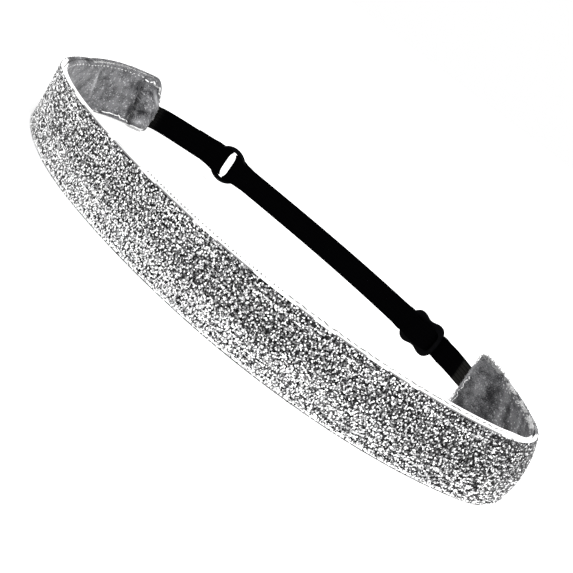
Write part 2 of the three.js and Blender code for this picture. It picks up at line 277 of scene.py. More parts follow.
def closed_ply(
    front: Array, back: Array, lengths: Array, heights: Array, front_slots: Array, back_slots: Array
) -> MeshData:
    """Closes two grids of points into one ply, with rounded edges that both faces share.

    Args:
        front: Grid of the front face, one line of points for each station.
        back: Grid of the back face; its first and last columns are the front's.
        lengths: Place of each station along the ply, from 0 to 1.
        heights: Place of each column up the ply, from 0 to 1.
        front_slots: Material number of each front face, or of each strip of them between two columns.
        back_slots: The same for the back.

    Returns:
        The closed mesh. Its map holds the front in the lower half and the back in the upper half.
    """
    rows, columns = front.shape[:2]
    front_ids = np.arange(rows * columns).reshape(rows, columns)
    back_ids = front_ids.copy()
    back_ids[:, 1:-1] = rows * columns + np.arange(rows * (columns - 2)).reshape(rows, columns - 2)
    across = np.broadcast_to(np.asarray(lengths)[:, None], (rows, columns))
    front_map = np.stack([across, np.broadcast_to(heights / 2, (rows, columns))], axis=-1)
    back_map = np.stack([across, np.broadcast_to(1 - heights / 2, (rows, columns))], axis=-1)
    faces = [grid_quads(front_ids), grid_quads(back_ids)[:, ::-1]]
    maps = [grid_quads(front_map), grid_quads(back_map)[:, ::-1]]
    front_slots = np.broadcast_to(front_slots, (rows - 1, columns - 1))
    back_slots = np.broadcast_to(back_slots, (rows - 1, columns - 1))
    slots = [front_slots.ravel(), back_slots.ravel()]
    for row, turn in ((0, 1), (-1, -1)):
        for ids, coords, kept in ((front_ids, back_ids, faces), (front_map, back_map, maps)):
            first, last = ids[row], coords[row]
            middle = np.stack([first[1:-2], first[2:-1], last[2:-1], last[1:-2]], axis=1)
            tips = np.stack(
                [np.stack([first[0], first[1], last[1]]), np.stack([first[-2], first[-1], last[-2]])]
            )
            kept.extend([middle[:, ::turn], tips[:, ::turn]])
        slots.extend([front_slots[row, 1:-1], front_slots[row, [0, -1]]])
    points = np.concatenate([front.reshape(-1, 3), back[:, 1:-1].reshape(-1, 3)])
    return MeshData(points, faces, maps, slots)


def rounded_rows(low: Array, high: Array, rounding: float, steps: int, between: int) -> tuple[Array, Array]:
    """Rows up a ply, close together where its two edges are rounded.

    Args:
        low: Lowest height at each station.
        high: Highest height at each station.
        rounding: Radius of the edges.
        steps: Rows in each rounding.
        between: Rows in the flat part.

    Returns:
        Heights, one line for each station, and the share of the full thickness that each row has.
    """
    reach = np.minimum(rounding, (high - low) / 3)
    angle = np.linspace(0, math.pi / 2, steps + 1)
    curve = reach[:, None] * (1 - np.cos(angle))
    lower = low[:, None] + curve
    upper = high[:, None] - curve[:, ::-1]
    share = np.linspace(0, 1, between + 2)[1:-1]
    middle = lower[:, -1:] + (upper[:, :1] - lower[:, -1:]) * share
    fullness = np.concatenate([np.sin(angle), np.ones(between), np.sin(angle)[::-1]])
    return np.concatenate([lower, middle, upper], axis=1), fullness


def scattered(base: Array, faces: list[Array], centres: Array, axes: Array, sizes: Array) -> MeshData:
    """Joins many small copies of one shape into a mesh.

    Args:
        base: Points of the shape round the origin.
        faces: Arrays of point numbers of the shape.
        centres: Place of each copy.
        axes: Three axes of each copy, one a row.
        sizes: Scale of each copy along its three axes.

    Returns:
        The joined mesh, with a small square of the map for each copy.
    """
    count = len(centres)
    points = np.einsum("pk,nk,nkc->npc", base, sizes, axes) + centres[:, None]
    jumps = np.arange(count) * len(base)
    side = math.ceil(math.sqrt(count))
    cells = np.stack([np.arange(count) % side, np.arange(count) // side], axis=1)
    spread = base[:, :2] / np.abs(base[:, :2]).max() * 0.42 + 0.5
    coords = (cells[:, None] + spread) / side
    grouped = [(group[None] + jumps[:, None, None]).reshape(-1, group.shape[1]) for group in faces]
    flat = coords.reshape(-1, 2)
    slots = [np.zeros(len(group), int) for group in grouped]
    return MeshData(points.reshape(-1, 3), grouped, [flat[group] for group in grouped], slots)


def stitch_shape() -> tuple[Array, list[Array]]:
    """A short length of thread with its two ends tucked under, one unit long and one thick.

    Returns:
        Points and arrays of faces.
    """
    half = ((-0.5, 0.3, -0.5), (-0.38, 0.85, -0.1))
    shape = (*half, (0.0, 1.0, 0.12), *((-x, thick, z) for x, thick, z in half[::-1]))
    sides = 6
    turn = np.arange(sides) / sides * 2 * math.pi
    circle = np.stack([np.zeros(sides), np.cos(turn), np.sin(turn)], axis=1)
    rings = [circle * thick / 2 + (x, 0, z) for x, thick, z in shape]
    ids = np.arange(len(shape) * sides).reshape(len(shape), sides)
    closed = np.concatenate([ids, ids[:, :1]], axis=1)
    caps = np.stack([ids[0][::-1], ids[-1]])
    return np.concatenate(rings), [grid_quads(closed), caps]


def blade_shape() -> tuple[Array, list[Array]]:
    """A loose fibre as a thin blade that bends over, one unit long and one wide.

    Returns:
        Points and arrays of faces.
    """
    pairs = ((0, 0.5, 0), (0.4, 0.45, 0.05), (0.75, 0.3, 0.2))
    points = [(x, side * half, z) for x, half, z in pairs for side in (-1, 1)]
    points.append((1, 0, 0.42))
    return np.array(points, float), [np.array([[0, 2, 3, 1], [2, 4, 5, 3]]), np.array([[4, 6, 5]])]


# Plan of the band


@dataclass(frozen=True)
class Arc:
    """One arc of the band's plan.

    Attributes:
        length: Length along the band.
        radius: Radius in plan.
        lean: Inward slope of the wall at the far end, in degrees.
        bow: How far the wall bulges outwards halfway up, at the far end.
    """

    length: float
    radius: float
    lean: float
    bow: float


@dataclass(frozen=True)
class Corner:
    """A quarter of an ellipse that rounds a corner of the band's end."""

    length: float
    height: float

    def cut(self, from_end: Array) -> Array:
        """What the corner takes off the edge at a distance from the end."""
        inside = np.clip(1 - from_end / self.length, 0, 1)
        return self.height * (1 - np.sqrt(1 - inside * inside))


@dataclass(frozen=True)
class Bulge:
    """A swell of an end flap, counted from the lower edge up."""

    at: float
    reach: float
    rise: float


@dataclass(frozen=True)
class BandEnd:
    """One half of the band and its end: side is -1 at the left and 1 at the right."""

    side: int
    arcs: tuple[Arc, ...]
    top: Corner
    low: Corner
    strap_height: float
    strap_width: float
    flap_length: float
    flap_inset: float
    bulges: tuple[Bulge, ...]

    @property
    def at(self) -> float:
        """Place of the end along the band."""
        return self.side * sum(arc.length for arc in self.arcs)


LEFT_END = BandEnd(
    side=-1,
    arcs=(
        Arc(56, 186, 1, 0),
        Arc(51, 100, -3.9, 0),
        Arc(34, 64, 9.4, 0),
        Arc(17, 75, 8.4, 0),
        Arc(41, 59, 4.5, 0),
    ),
    top=Corner(9.5, 20),
    low=Corner(1.5, 2),
    strap_height=9.2,
    strap_width=11,
    flap_length=11.5,
    flap_inset=1,
    bulges=(Bulge(5, 4, 0.8), Bulge(15.5, 6.5, 1.1)),
)
RIGHT_END = BandEnd(
    side=1,
    arcs=(Arc(56, 149, 5.5, 0), Arc(51, 132, 7.2, 1), Arc(51, 39.5, 11.6, 3), Arc(40, 66, 10.6, 0.5)),
    top=Corner(1, 1),
    low=Corner(1, 1),
    strap_height=13,
    strap_width=10,
    flap_length=14.5,
    flap_inset=0.4,
    bulges=(Bulge(13, 9, 0.3),),
)


@dataclass(frozen=True)
class Band:
    """The band's wall: a point is a distance along it, a height up it and a depth in from its outer face."""

    left: BandEnd = LEFT_END
    right: BandEnd = RIGHT_END
    width: float = 25.4
    ribbon_depth: float = 1.5
    front_lean: float = 2.0

    @property
    def length(self) -> float:
        """Length of the ribbon."""
        return self.right.at - self.left.at

    def end(self, side: int) -> BandEnd:
        """The end on one side."""
        return self.left if side < 0 else self.right

    def walk(self, along: Array, side: int) -> tuple[Array, Array, Array, Array, Array]:
        """Follows one half of the plan.

        Args:
            along: Distances from the front centre.
            side: Which half.

        Returns:
            x and y of the outer face at the floor, heading, lean and bow.
        """
        left = np.abs(along)
        x = np.zeros_like(left)
        y = np.zeros_like(left)
        heading = np.zeros_like(left)
        lean = np.full_like(left, self.front_lean)
        bow = np.zeros_like(left)
        for arc in self.end(side).arcs:
            run = np.clip(left, 0, arc.length)
            turned = heading + run / arc.radius
            x = x + arc.radius * (np.sin(turned) - np.sin(heading))
            y = y + arc.radius * (np.cos(heading) - np.cos(turned))
            heading = turned
            lean = lean + (arc.lean - lean) * run / arc.length
            bow = bow + (arc.bow - bow) * run / arc.length
            left = left - run
        return side * x, y, heading, np.radians(lean), bow

    def point(self, along: Array, height: Array, depth: Array) -> Array:
        """Points of the wall.

        Args:
            along: Distances along the band.
            height: Heights up the leaning wall.
            depth: Depths inwards from the outer face.

        Returns:
            Points, with x, y and z on the last axis.
        """
        given = (np.asarray(part, float) for part in (along, height, depth))
        along, height, depth = np.broadcast_arrays(*given)
        share = height / self.width
        found = np.zeros(along.shape + (3,))
        for side in (-1, 1):
            x, y, heading, lean, bow = self.walk(along, side)
            inward = depth + height * np.sin(lean) - 4 * bow * share * (1 - share)
            x = x - side * np.sin(heading) * inward
            y = y + np.cos(heading) * inward
            half = along < 0 if side < 0 else along >= 0
            found[half] = np.stack([x, y, height * np.cos(lean)], axis=-1)[half]
        return found

    def axes(self, along: Array, height: Array, depth: Array) -> tuple[Array, Array, Array]:
        """Directions of the wall.

        Args:
            along: Distances along the band.
            height: Heights up the leaning wall.
            depth: Depths inwards from the outer face.

        Returns:
            Directions along the band, up its wall and out of its face.
        """
        step = 0.05
        run = unit(self.point(along + step, height, depth) - self.point(along - step, height, depth))
        rise = unit(self.point(along, height + step, depth) - self.point(along, height - step, depth))
        return run, rise, unit(np.cross(run, rise))

    def edges(self, along: Array, inset: float) -> tuple[Array, Array]:
        """Edges of a ply.

        Args:
            along: Distances along the band.
            inset: How far the ply is set in from the ribbon's edges all round.

        Returns:
            Lowest and highest height of the ply at each distance.
        """
        low = np.full_like(along, inset)
        high = np.full_like(along, self.width - inset)
        for end in (self.left, self.right):
            from_end = np.abs(end.at - along) - inset
            low = low + end.low.cut(from_end)
            high = high - end.top.cut(from_end)
        return low, high

    def stations(self, inset: float, step: float) -> Array:
        """Stations of a ply, closer together round the corners of its ends.

        Args:
            inset: How far the ply is set in from the ribbon's edges all round.
            step: Distance from station to station between the corners.

        Returns:
            Distances along the band from the ply's left end to its right one.
        """
        turn = 1 - np.cos(np.linspace(0, math.pi / 2, 25))
        left = self.left.at + inset + self.left.top.length * turn
        right = self.right.at - inset - self.right.top.length * turn[::-2]
        count = int((right[0] - left[-1]) / step)
        return np.concatenate([left, np.linspace(left[-1], right[0], count)[1:-1], right])

    def origin(self) -> Array:
        """Place of the plan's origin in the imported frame, from the ribbon's box in both.

        Returns:
            The place in millimetres.
        """
        along = self.stations(0, 1.0)
        corners = [(edge, depth) for edge in self.edges(along, 0) for depth in (0.0, self.ribbon_depth)]
        own = np.concatenate([self.point(along, edge, depth) for edge, depth in corners])
        packed = [np.array(corner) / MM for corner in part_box("glitter_ribbon")]
        moved = (packed[0] + packed[1] - own.min(axis=0) - own.max(axis=0)) / 2
        return np.array([moved[0], moved[1], 0.0])


# Finishes


def add(tree: NodeTree, kind: str, inputs: dict, output: int | str = 0, **settings: object) -> Socket:
    """Adds a node to a material's tree.

    Args:
        tree: The tree.
        kind: Type name of the node.
        inputs: What goes in each input, a socket to link or a constant.
        output: Which output is wanted.
        settings: Properties of the node.

    Returns:
        The output socket.
    """
    node = tree.nodes.new(kind)
    for name, value in settings.items():
        setattr(node, name, value)
    for key, value in inputs.items():
        if isinstance(value, Socket):
            tree.links.new(value, node.inputs[key])
        else:
            node.inputs[key].default_value = value
    return node.outputs[output]


@dataclass(frozen=True)
class Finish:
    """What all finishes share: a principled surface on a material of the finish's own name."""

    name: str

    def inputs(self, tree: NodeTree, place: Socket) -> dict:
        """Works out what goes in each input of the surface, a socket to link or a constant."""
        raise NotImplementedError

    def material(self, length: float = 0.0, width: float = 0.0) -> Material:
        """Makes the material.

        Args:
            length: Length of the ply that carries the pattern, or 0 for one in the object's own space.
            width: Width of that ply.

        Returns:
            The material.
        """
        material = bpy.data.materials.new(self.name)
        material.use_nodes = True
        tree = material.node_tree
        tree.nodes.remove(tree.nodes["Principled BSDF"])
        place = add(tree, "ShaderNodeTexCoord", {}, "UV" if length else "Object")
        if length:
            place = add(tree, "ShaderNodeMapping", {"Vector": place, "Scale": (length, 2 * width, 1)})
        shader = add(tree, "ShaderNodeBsdfPrincipled", self.inputs(tree, place))
        tree.links.new(shader, tree.nodes["Material Output"].inputs["Surface"])
        return material


def bands_scale(pitch: float) -> float:
    """Scale of a wave texture whose bands repeat after this pitch."""
    return math.pi / (10 * pitch)


# Sockets of a colour mix, by number because their names repeat in the node
SHARE, FIRST, SECOND, MIXED = 0, 6, 7, 2


@dataclass(frozen=True)
class WovenRibbon(Finish):
    """Polyester ribbon, woven in fine crosswise ribs: a clean white with faint grey painted shade in the
    hollows between the ribs.

    A real ribbon's ribs are about 0.3 mm apart. They are drawn coarser, so that they show.

    Attributes:
        rib_share: How much the ribs count beside the soiled patches.
        tone: Sums of the two at which the colour is darkest and lightest.
    """

    name: str = "polyester_ribbon_woven"
    thread: str = "#FAFAF9"
    # Painted shade in the hollows between the ribs.
    hollow_shade: str = "#C9C9CA"
    rib: float = 0.55
    soil: float = 6.0
    rib_share: float = 0.35
    tone: Span = (0.3, 0.75)
    relief: float = 0.08
    roughness: float = 0.8

    def inputs(self, tree: NodeTree, place: Socket) -> dict:
        """Works out the inputs of the surface.

        Args:
            tree: The material's tree.
            place: Pattern coordinates in millimetres.

        Returns:
            What goes in each input.
        """
        ribs = add(tree, "ShaderNodeTexWave", {"Vector": place, "Scale": bands_scale(self.rib)}, "Fac")
        spots = {"Vector": place, "Scale": 1 / self.soil, "Detail": 3.0}
        soiled = add(tree, "ShaderNodeTexNoise", spots, "Fac")
        both = add(tree, "ShaderNodeMath", {0: ribs, 1: self.rib_share, 2: soiled}, operation="MULTIPLY_ADD")
        light = {"Value": both, "From Min": self.tone[0], "From Max": self.tone[1]}
        ends = {FIRST: linear(self.hollow_shade), SECOND: linear(self.thread)}
        ends[SHARE] = add(tree, "ShaderNodeMapRange", light)
        colour = add(tree, "ShaderNodeMix", ends, MIXED, data_type="RGBA")
        bump = {"Height": ribs, "Strength": 0.4, "Distance": self.relief * MM}
        normal = add(tree, "ShaderNodeBump", bump)
        return {"Base Color": colour, "Roughness": self.roughness, "Normal": normal}


@dataclass(frozen=True)
class GlueFilm(Finish):
    """Dark acrylic glue film, rolled on: it shows as near-black specks between the flakes."""

    name: str = "acrylic_glue_film_rolled"
    film: str = "#1C1C1E"
    thin: str = "#47474A"
    patch: float = 0.8
    tone: Span = (0.45, 0.7)
    relief: float = 0.1
    roughness: float = 0.6
    specular: float = 0.1

    def inputs(self, tree: NodeTree, place: Socket) -> dict:
        """Works out the inputs of the surface.

        Args:
            tree: The material's tree.
            place: Pattern coordinates in millimetres.

        Returns:
            What goes in each input.
        """
        spots = {"Vector": place, "Scale": 1 / self.patch, "Detail": 2.0}
        patches = add(tree, "ShaderNodeTexNoise", spots, "Fac")
        light = {"Value": patches, "From Min": self.tone[0], "From Max": self.tone[1]}
        ends = {FIRST: linear(self.film), SECOND: linear(self.thin)}
        ends[SHARE] = add(tree, "ShaderNodeMapRange", light)
        colour = add(tree, "ShaderNodeMix", ends, MIXED, data_type="RGBA")
        bump = {"Height": patches, "Strength": 0.5, "Distance": self.relief * MM}
        return {
            "Base Color": colour,
            "Roughness": self.roughness,
            "Specular IOR Level": self.specular,
            "Normal": add(tree, "ShaderNodeBump", bump),
        }


@dataclass(frozen=True)
class FilmFlakes(Finish):
    """Polyester film flakes, coated with aluminium: each catches the light its own way, black or white; that
    grey is a painted reflection.
    """

    name: str = "aluminised_film_flakes_cut"
    attribute: str = "flake"
    metallic: float = 0.9
    roughness: float = 0.35

    def inputs(self, tree: NodeTree, place: Socket) -> dict:
        """Works out the inputs of the surface, with each flake's grey, a painted reflection, from the mesh.
        """
        grey = add(tree, "ShaderNodeAttribute", {}, "Color", attribute_name=self.attribute)
        return {"Base Color": grey, "Metallic": self.metallic, "Roughness": self.roughness}


@dataclass(frozen=True)
class BrushedVelvet(Finish):
    """Nylon velvet, brushed: a matt, cloudy grey pile with lighter specks of turned nap and a soft sheen; a
    point attribute paints it lighter or darker for turned nap and as painted light and shade.

    A real pile's tufts are about 0.15 mm across. They are drawn coarser, so that they show.

    Attributes:
        fibre_share: How much the tufts count beside the clouds.
        speck_edge: Where a speck fades out and is full, from its middle and in spacings of the specks.
        tone: Sums of tufts and clouds at which the pile is darkest and lightest.
        nap_push: How far that attribute pushes the colour towards the light nap.
    """

    name: str = "nylon_velvet_brushed"
    deep: str = "#232325"
    pile: str = "#6C6C6E"
    nap: str = "#C0C0C2"
    # Point attribute that paints the pile lighter or darker: turned nap, painted light and painted shade.
    attribute: str = "nap_and_painted_light"
    fibre: float = 0.4
    fibre_share: float = 0.8
    speck: float = 1.3
    speck_edge: Span = (0.38, 0.08)
    flecks: float = 0.8
    cloud: float = 6.0
    tone: Span = (0.73, 1.04)
    nap_push: float = 0.6
    relief: float = 0.25
    roughness: float = 0.95
    specular: float = 0.1
    sheen: float = 0.1

    def inputs(self, tree: NodeTree, place: Socket) -> dict:
        """Works out the inputs of the surface.

        Args:
            tree: The material's tree.
            place: Pattern coordinates in millimetres.

        Returns:
            What goes in each input.
        """
        cloudy = {"Vector": place, "Scale": 1 / self.cloud, "Detail": 5.0, "Roughness": 0.62}
        clouds = add(tree, "ShaderNodeTexNoise", cloudy, "Fac")
        fine = {"Vector": place, "Scale": 1 / self.fibre, "Detail": 2.0}
        fibres = add(tree, "ShaderNodeTexNoise", fine, "Fac")
        cells = add(tree, "ShaderNodeTexVoronoi", {"Vector": place, "Scale": 1 / self.speck}, "Distance")
        edge = {"From Min": self.speck_edge[0], "From Max": self.speck_edge[1], "To Max": self.flecks}
        edge["Value"] = cells
        specks = add(tree, "ShaderNodeMapRange", edge, interpolation_type="SMOOTHSTEP")
        # Turned nap and painted light and shade, from the mesh.
        nap_and_light_attribute = add(tree, "ShaderNodeAttribute", {}, "Fac", attribute_name=self.attribute)
        sums = {0: fibres, 1: self.fibre_share, 2: clouds}
        mixed = add(tree, "ShaderNodeMath", sums, operation="MULTIPLY_ADD")
        light = {"Value": mixed, "From Min": self.tone[0], "From Max": self.tone[1]}
        even = add(tree, "ShaderNodeMapRange", light, clamp=False)
        lit = add(tree, "ShaderNodeMath", {0: even, 1: nap_and_light_attribute}, operation="ADD", use_clamp=True)
        ends = {SHARE: lit, FIRST: linear(self.deep), SECOND: linear(self.pile)}
        pile = add(tree, "ShaderNodeMix", ends, MIXED, data_type="RGBA")
        nap_and_painted_light = {0: nap_and_light_attribute, 1: self.nap_push}
        high = add(tree, "ShaderNodeMath", nap_and_painted_light, operation="MULTIPLY", use_clamp=True)
        nap = {0: specks, 1: lit, 2: high}
        turned = add(tree, "ShaderNodeMath", nap, operation="MULTIPLY_ADD", use_clamp=True)
        ends = {SHARE: turned, FIRST: pile, SECOND: linear(self.nap)}
        colour = add(tree, "ShaderNodeMix", ends, MIXED, data_type="RGBA")
        bump = {"Height": mixed, "Strength": 0.7, "Distance": self.relief * MM}
        return {
            "Base Color": colour,
            "Roughness": self.roughness,
            "Specular IOR Level": self.specular,
            "Sheen Weight": self.sheen,
            "Sheen Roughness": 0.5,
            "Normal": add(tree, "ShaderNodeBump", bump),
        }


@dataclass(frozen=True)
class KnittedElastic(Finish):
    """Elastic webbing, knitted with crosswise ribs: a dull black whose ribs show only where light grazes,
    with a painted sheen on the ribs near the pockets' mouths.

    Attributes:
        rib_sheen: Colour of the painted sheen on the ribs near the pockets' mouths.
        cord_share: How much the lengthwise cords, two ribs apart, count beside the ribs.
    """

    name: str = "elastic_webbing_knitted"
    yarn: str = "#020203"
    # Painted shade in the hollows between the ribs and cords.
    hollow_shade: str = "#010101"
    # Painted sheen on the ribs near the pockets' mouths.
    rib_sheen: str = "#282826"
    attribute: str = "nap_and_painted_light"
    rib: float = 0.75
    cord_share: float = 0.5
    relief: float = 0.15
    roughness: float = 0.85
    specular: float = 0.005

    def inputs(self, tree: NodeTree, place: Socket) -> dict:
        """Works out the inputs of the surface.

        Args:
            tree: The material's tree.
            place: Pattern coordinates in millimetres.

        Returns:
            What goes in each input.
        """
        ribs = add(tree, "ShaderNodeTexWave", {"Vector": place, "Scale": bands_scale(self.rib)}, "Fac")
        lengthwise = {"Vector": place, "Scale": bands_scale(2 * self.rib)}
        cords = add(tree, "ShaderNodeTexWave", lengthwise, "Fac", bands_direction="Y")
        sums = {0: cords, 1: self.cord_share, 2: ribs}
        weave = add(tree, "ShaderNodeMath", sums, operation="MULTIPLY_ADD")
        share = add(tree, "ShaderNodeMapRange", {"Value": weave, "From Max": 1 + self.cord_share})
        ends = {SHARE: share, FIRST: linear(self.hollow_shade), SECOND: linear(self.yarn)}
        black = add(tree, "ShaderNodeMix", ends, MIXED, data_type="RGBA")
        rib_sheen = add(tree, "ShaderNodeAttribute", {}, "Fac", attribute_name=self.attribute)
        # Painted sheen on the ribs where the attribute is set.
        sheen_on_ribs = add(tree, "ShaderNodeMath", {0: rib_sheen, 1: share}, operation="MULTIPLY")
        ends = {SHARE: sheen_on_ribs, FIRST: black, SECOND: linear(self.rib_sheen)}
        colour = add(tree, "ShaderNodeMix", ends, MIXED, data_type="RGBA")
        bump = {"Height": weave, "Strength": 0.6, "Distance": self.relief * MM}
        return {
            "Base Color": colour,
            "Roughness": self.roughness,
            "Specular IOR Level": self.specular,
            "Normal": add(tree, "ShaderNodeBump", bump),
        }


@dataclass(frozen=True)
class MouldedNylon(Finish):
    """Nylon, injection moulded in a finely eroded tool: a satin black with a faint, soft highlight.

    The tool's grain is under 0.1 mm on a real moulding. It is drawn coarser, so that it shows.
    """

    name: str = "nylon_injection_moulded"
    body: str = "#010102"
    scuffed: str = "#040405"
    grain: float = 0.3
    scuff: float = 3.0
    tone: Span = (0.45, 0.75)
    gloss: Span = (0.32, 0.55)
    relief: float = 0.05
    specular: float = 0.025

    def inputs(self, tree: NodeTree, place: Socket) -> dict:
        """Works out the inputs of the surface.

        Args:
            tree: The material's tree.
            place: Pattern coordinates in metres.

        Returns:
            What goes in each input.
        """
        grain = add(tree, "ShaderNodeTexNoise", {"Vector": place, "Scale": 1 / (self.grain * MM)}, "Fac")
        marks = {"Vector": place, "Scale": 1 / (self.scuff * MM), "Detail": 4.0}
        scuffs = add(tree, "ShaderNodeTexNoise", marks, "Fac")
        light = {"Value": scuffs, "From Min": self.tone[0], "From Max": self.tone[1]}
        ends = {FIRST: linear(self.body), SECOND: linear(self.scuffed)}
        ends[SHARE] = add(tree, "ShaderNodeMapRange", light)
        colour = add(tree, "ShaderNodeMix", ends, MIXED, data_type="RGBA")
        wear_and_painted_highlight = {"Value": scuffs, "To Min": self.gloss[0], "To Max": self.gloss[1]}
        bump = {"Height": grain, "Strength": 0.15, "Distance": self.relief * MM}
        return {
            "Base Color": colour,
            "Roughness": add(tree, "ShaderNodeMapRange", wear_and_painted_highlight),
            "Specular IOR Level": self.specular,
            "Normal": add(tree, "ShaderNodeBump", bump),
        }


@dataclass(frozen=True)
class SpunThread(Finish):
    """Polyester thread, spun and twisted: slightly uneven along its length, with soft light on its twist."""

    name: str = "polyester_thread_spun"
    crown: str = "#FFFFFF"
    shade: str = "#DDDDDD"
    twist: float = 0.4
    relief: float = 0.05
    roughness: float = 0.7

    def inputs(self, tree: NodeTree, place: Socket) -> dict:
        """Works out the inputs of the surface.

        Args:
            tree: The material's tree.
            place: Pattern coordinates in metres.

        Returns:
            What goes in each input.
        """
        lay = add(tree, "ShaderNodeTexNoise", {"Vector": place, "Scale": 1 / (self.twist * MM)}, "Fac")
        ends = {SHARE: lay, FIRST: linear(self.shade), SECOND: linear(self.crown)}
        colour = add(tree, "ShaderNodeMix", ends, MIXED, data_type="RGBA")
        bump = {"Height": lay, "Strength": 0.4, "Distance": self.relief * MM}
        normal = add(tree, "ShaderNodeBump", bump)
        return {"Base Color": colour, "Roughness": self.roughness, "Normal": normal}


@dataclass(frozen=True)
class CoatedPaper(Finish):
    """Paper, coated and rolled: an even white that adds a little light, so that it shows as pure white."""

    name: str = "paper_sweep_coated"
    sheet: str = "#FAFAFA"
    grain: float = 2.5
    relief: float = 0.1
    roughness: float = 0.9
    glow: float = 0.25

    def inputs(self, tree: NodeTree, place: Socket) -> dict:
        """Works out the inputs of the surface.

        Args:
            tree: The material's tree.
            place: Pattern coordinates in metres.

        Returns:
            What goes in each input.
        """
        grain = add(tree, "ShaderNodeTexNoise", {"Vector": place, "Scale": 1 / (self.grain * MM)}, "Fac")
        bump = {"Height": grain, "Strength": 0.05, "Distance": self.relief * MM}
        return {
            "Base Color": linear(self.sheet),
            "Roughness": self.roughness,
            "Normal": add(tree, "ShaderNodeBump", bump),
            "Emission Color": linear("#FFFFFF"),
            "Emission Strength": self.glow,
        }


EDGE_THREAD = SpunThread("polyester_thread_edge", "#808080", "#5C5C5C")


# Pieces


def place_piece(piece: Piece, slot: Slot, *nodes: str) -> Piece:
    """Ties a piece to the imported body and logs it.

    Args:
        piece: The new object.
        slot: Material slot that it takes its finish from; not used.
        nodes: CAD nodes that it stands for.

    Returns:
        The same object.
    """
    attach(piece, "root")
    if nodes:
        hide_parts(*nodes)
    LOG.info("%s: %d points, %d faces", piece.name, len(piece.data.vertices), len(piece.data.polygons))
    return piece


def set_nap_and_painted_light(piece: Piece, grid: Array) -> None:
    """Stores how much each point of a ply is painted lighter, for turned nap and for painted light, sheen
    and shade, with one grid for its front and its back.
    """
    layer = piece.data.attributes.new(BrushedVelvet().attribute, "FLOAT", "POINT")
    layer.data.foreach_set("value", np.concatenate([grid.ravel(), grid[:, 1:-1].ravel()]))


def along_path(path: Path, places: Array) -> tuple[Array, Array, Array]:
    """Follows a path on the band's wall.

    Args:
        path: Points as distance along the band and height.
        places: Distances along the path.

    Returns:
        Distances along the band, heights, and the path's direction in those two.
    """
    points = np.array(path, float)
    run = distances(points)
    step = 0.1
    here, ahead, behind = (
        np.stack([np.interp(places + off, run, points[:, k]) for k in (0, 1)], axis=1)
        for off in (0.0, step, -step)
    )
    return here[:, 0], here[:, 1], unit(ahead - behind)


def level(depth: float) -> DepthAt:
    """A depth that is the same everywhere."""
    return lambda along, height: np.full_like(along, depth)


def path_length(path: Path) -> float:
    """Length of a path on the band's wall."""
    return float(distances(np.array(path, float))[-1])


def join_copies(
    name: str,
    band: Band,
    shape: tuple[Array, list[Array]],
    copies: list[tuple[Array, Array, Array]],
    material: Material,
) -> Piece:
    """Joins copies of one small shape into a piece, from their places, axes and sizes line by line."""
    centres, axes, sizes = (np.concatenate(part) for part in zip(*copies))
    return scattered(*shape, centres, axes, sizes).build(name, [material], band.origin())


@dataclass(frozen=True)
class StitchLine:
    """A line of stitches on the band's wall.

    Attributes:
        turn: Angle between a stitch and the line, in degrees; every other stitch turns back.
        drift: Spread of the stitches along the line, as a share of the pitch.
        short_long: Shortest and longest stitch, as shares of the length.
        thin_thick: Thinnest and thickest stitch, as shares of the thickness.
    """

    path: Path
    pitch: float
    length: float
    thickness: float
    turn: float = 0.0
    drift: float = 0.08
    sway: float = 7.0
    short_long: Span = (0.75, 1.2)
    thin_thick: Span = (0.8, 1.15)


def sew(
    name: str,
    band: Band,
    lines: tuple[StitchLine, ...],
    depth_at: DepthAt,
    is_inside: bool,
    material: Material,
    seed: int,
) -> Piece:
    """Sews lines of stitches on the band's wall as one piece.

    Args:
        name: Name of the piece.
        band: The band.
        lines: The lines.
        depth_at: Depth of the thread's middle at a distance and a height.
        is_inside: Whether the thread stands up towards the inside of the loop.
        material: Material of the thread.
        seed: Seed of the stitches' small differences.

    Returns:
        The new object.
    """
    rng = np.random.default_rng(seed)
    copies = []
    for line in lines:
        places = np.arange(line.pitch / 2, path_length(line.path), line.pitch)
        count = len(places)
        places = places + rng.normal(0, line.drift * line.pitch, count)
        along, height, heading = along_path(line.path, places)
        depth = depth_at(along, height)
        run, rise, out = band.axes(along, height, depth)
        sway = line.turn * (-1.0) ** np.arange(count) + rng.normal(0, line.sway, count)
        angle = np.arctan2(heading[:, 1], heading[:, 0]) + np.radians(sway)
        lay = run * np.cos(angle)[:, None] + rise * np.sin(angle)[:, None]
        up = -out if is_inside else out
        axes = np.stack([lay, np.cross(up, lay), up], axis=1)
        thick = line.thickness * rng.uniform(*line.thin_thick, count)
        length = line.length * rng.uniform(*line.short_long, count)
        sizes = np.stack([length, thick, thick], axis=1)
        copies.append((band.point(along, height, depth), axes, sizes))
    return join_copies(name, band, stitch_shape(), copies, material)


@dataclass(frozen=True)
class FibreLine:
    """Loose fibres along a line on the band's wall.

    Real pile fibres are a few hundredths of a millimetre wide. Each one here stands for a wisp of them.

    Attributes:
        lie: Mean direction, as shares along the band, up its wall and out of its face.
        tuft: Distance from tuft to tuft, or 0 for an even line.
        tuft_width: Spread of a tuft's roots, as a share of that distance.
    """

    path: Path
    depth: Span
    per_mm: float
    reach: Span
    lie: Triple
    spread: float = 0.5
    tuft: float = 0.0
    tuft_width: float = 0.16
    stray: float = 0.12


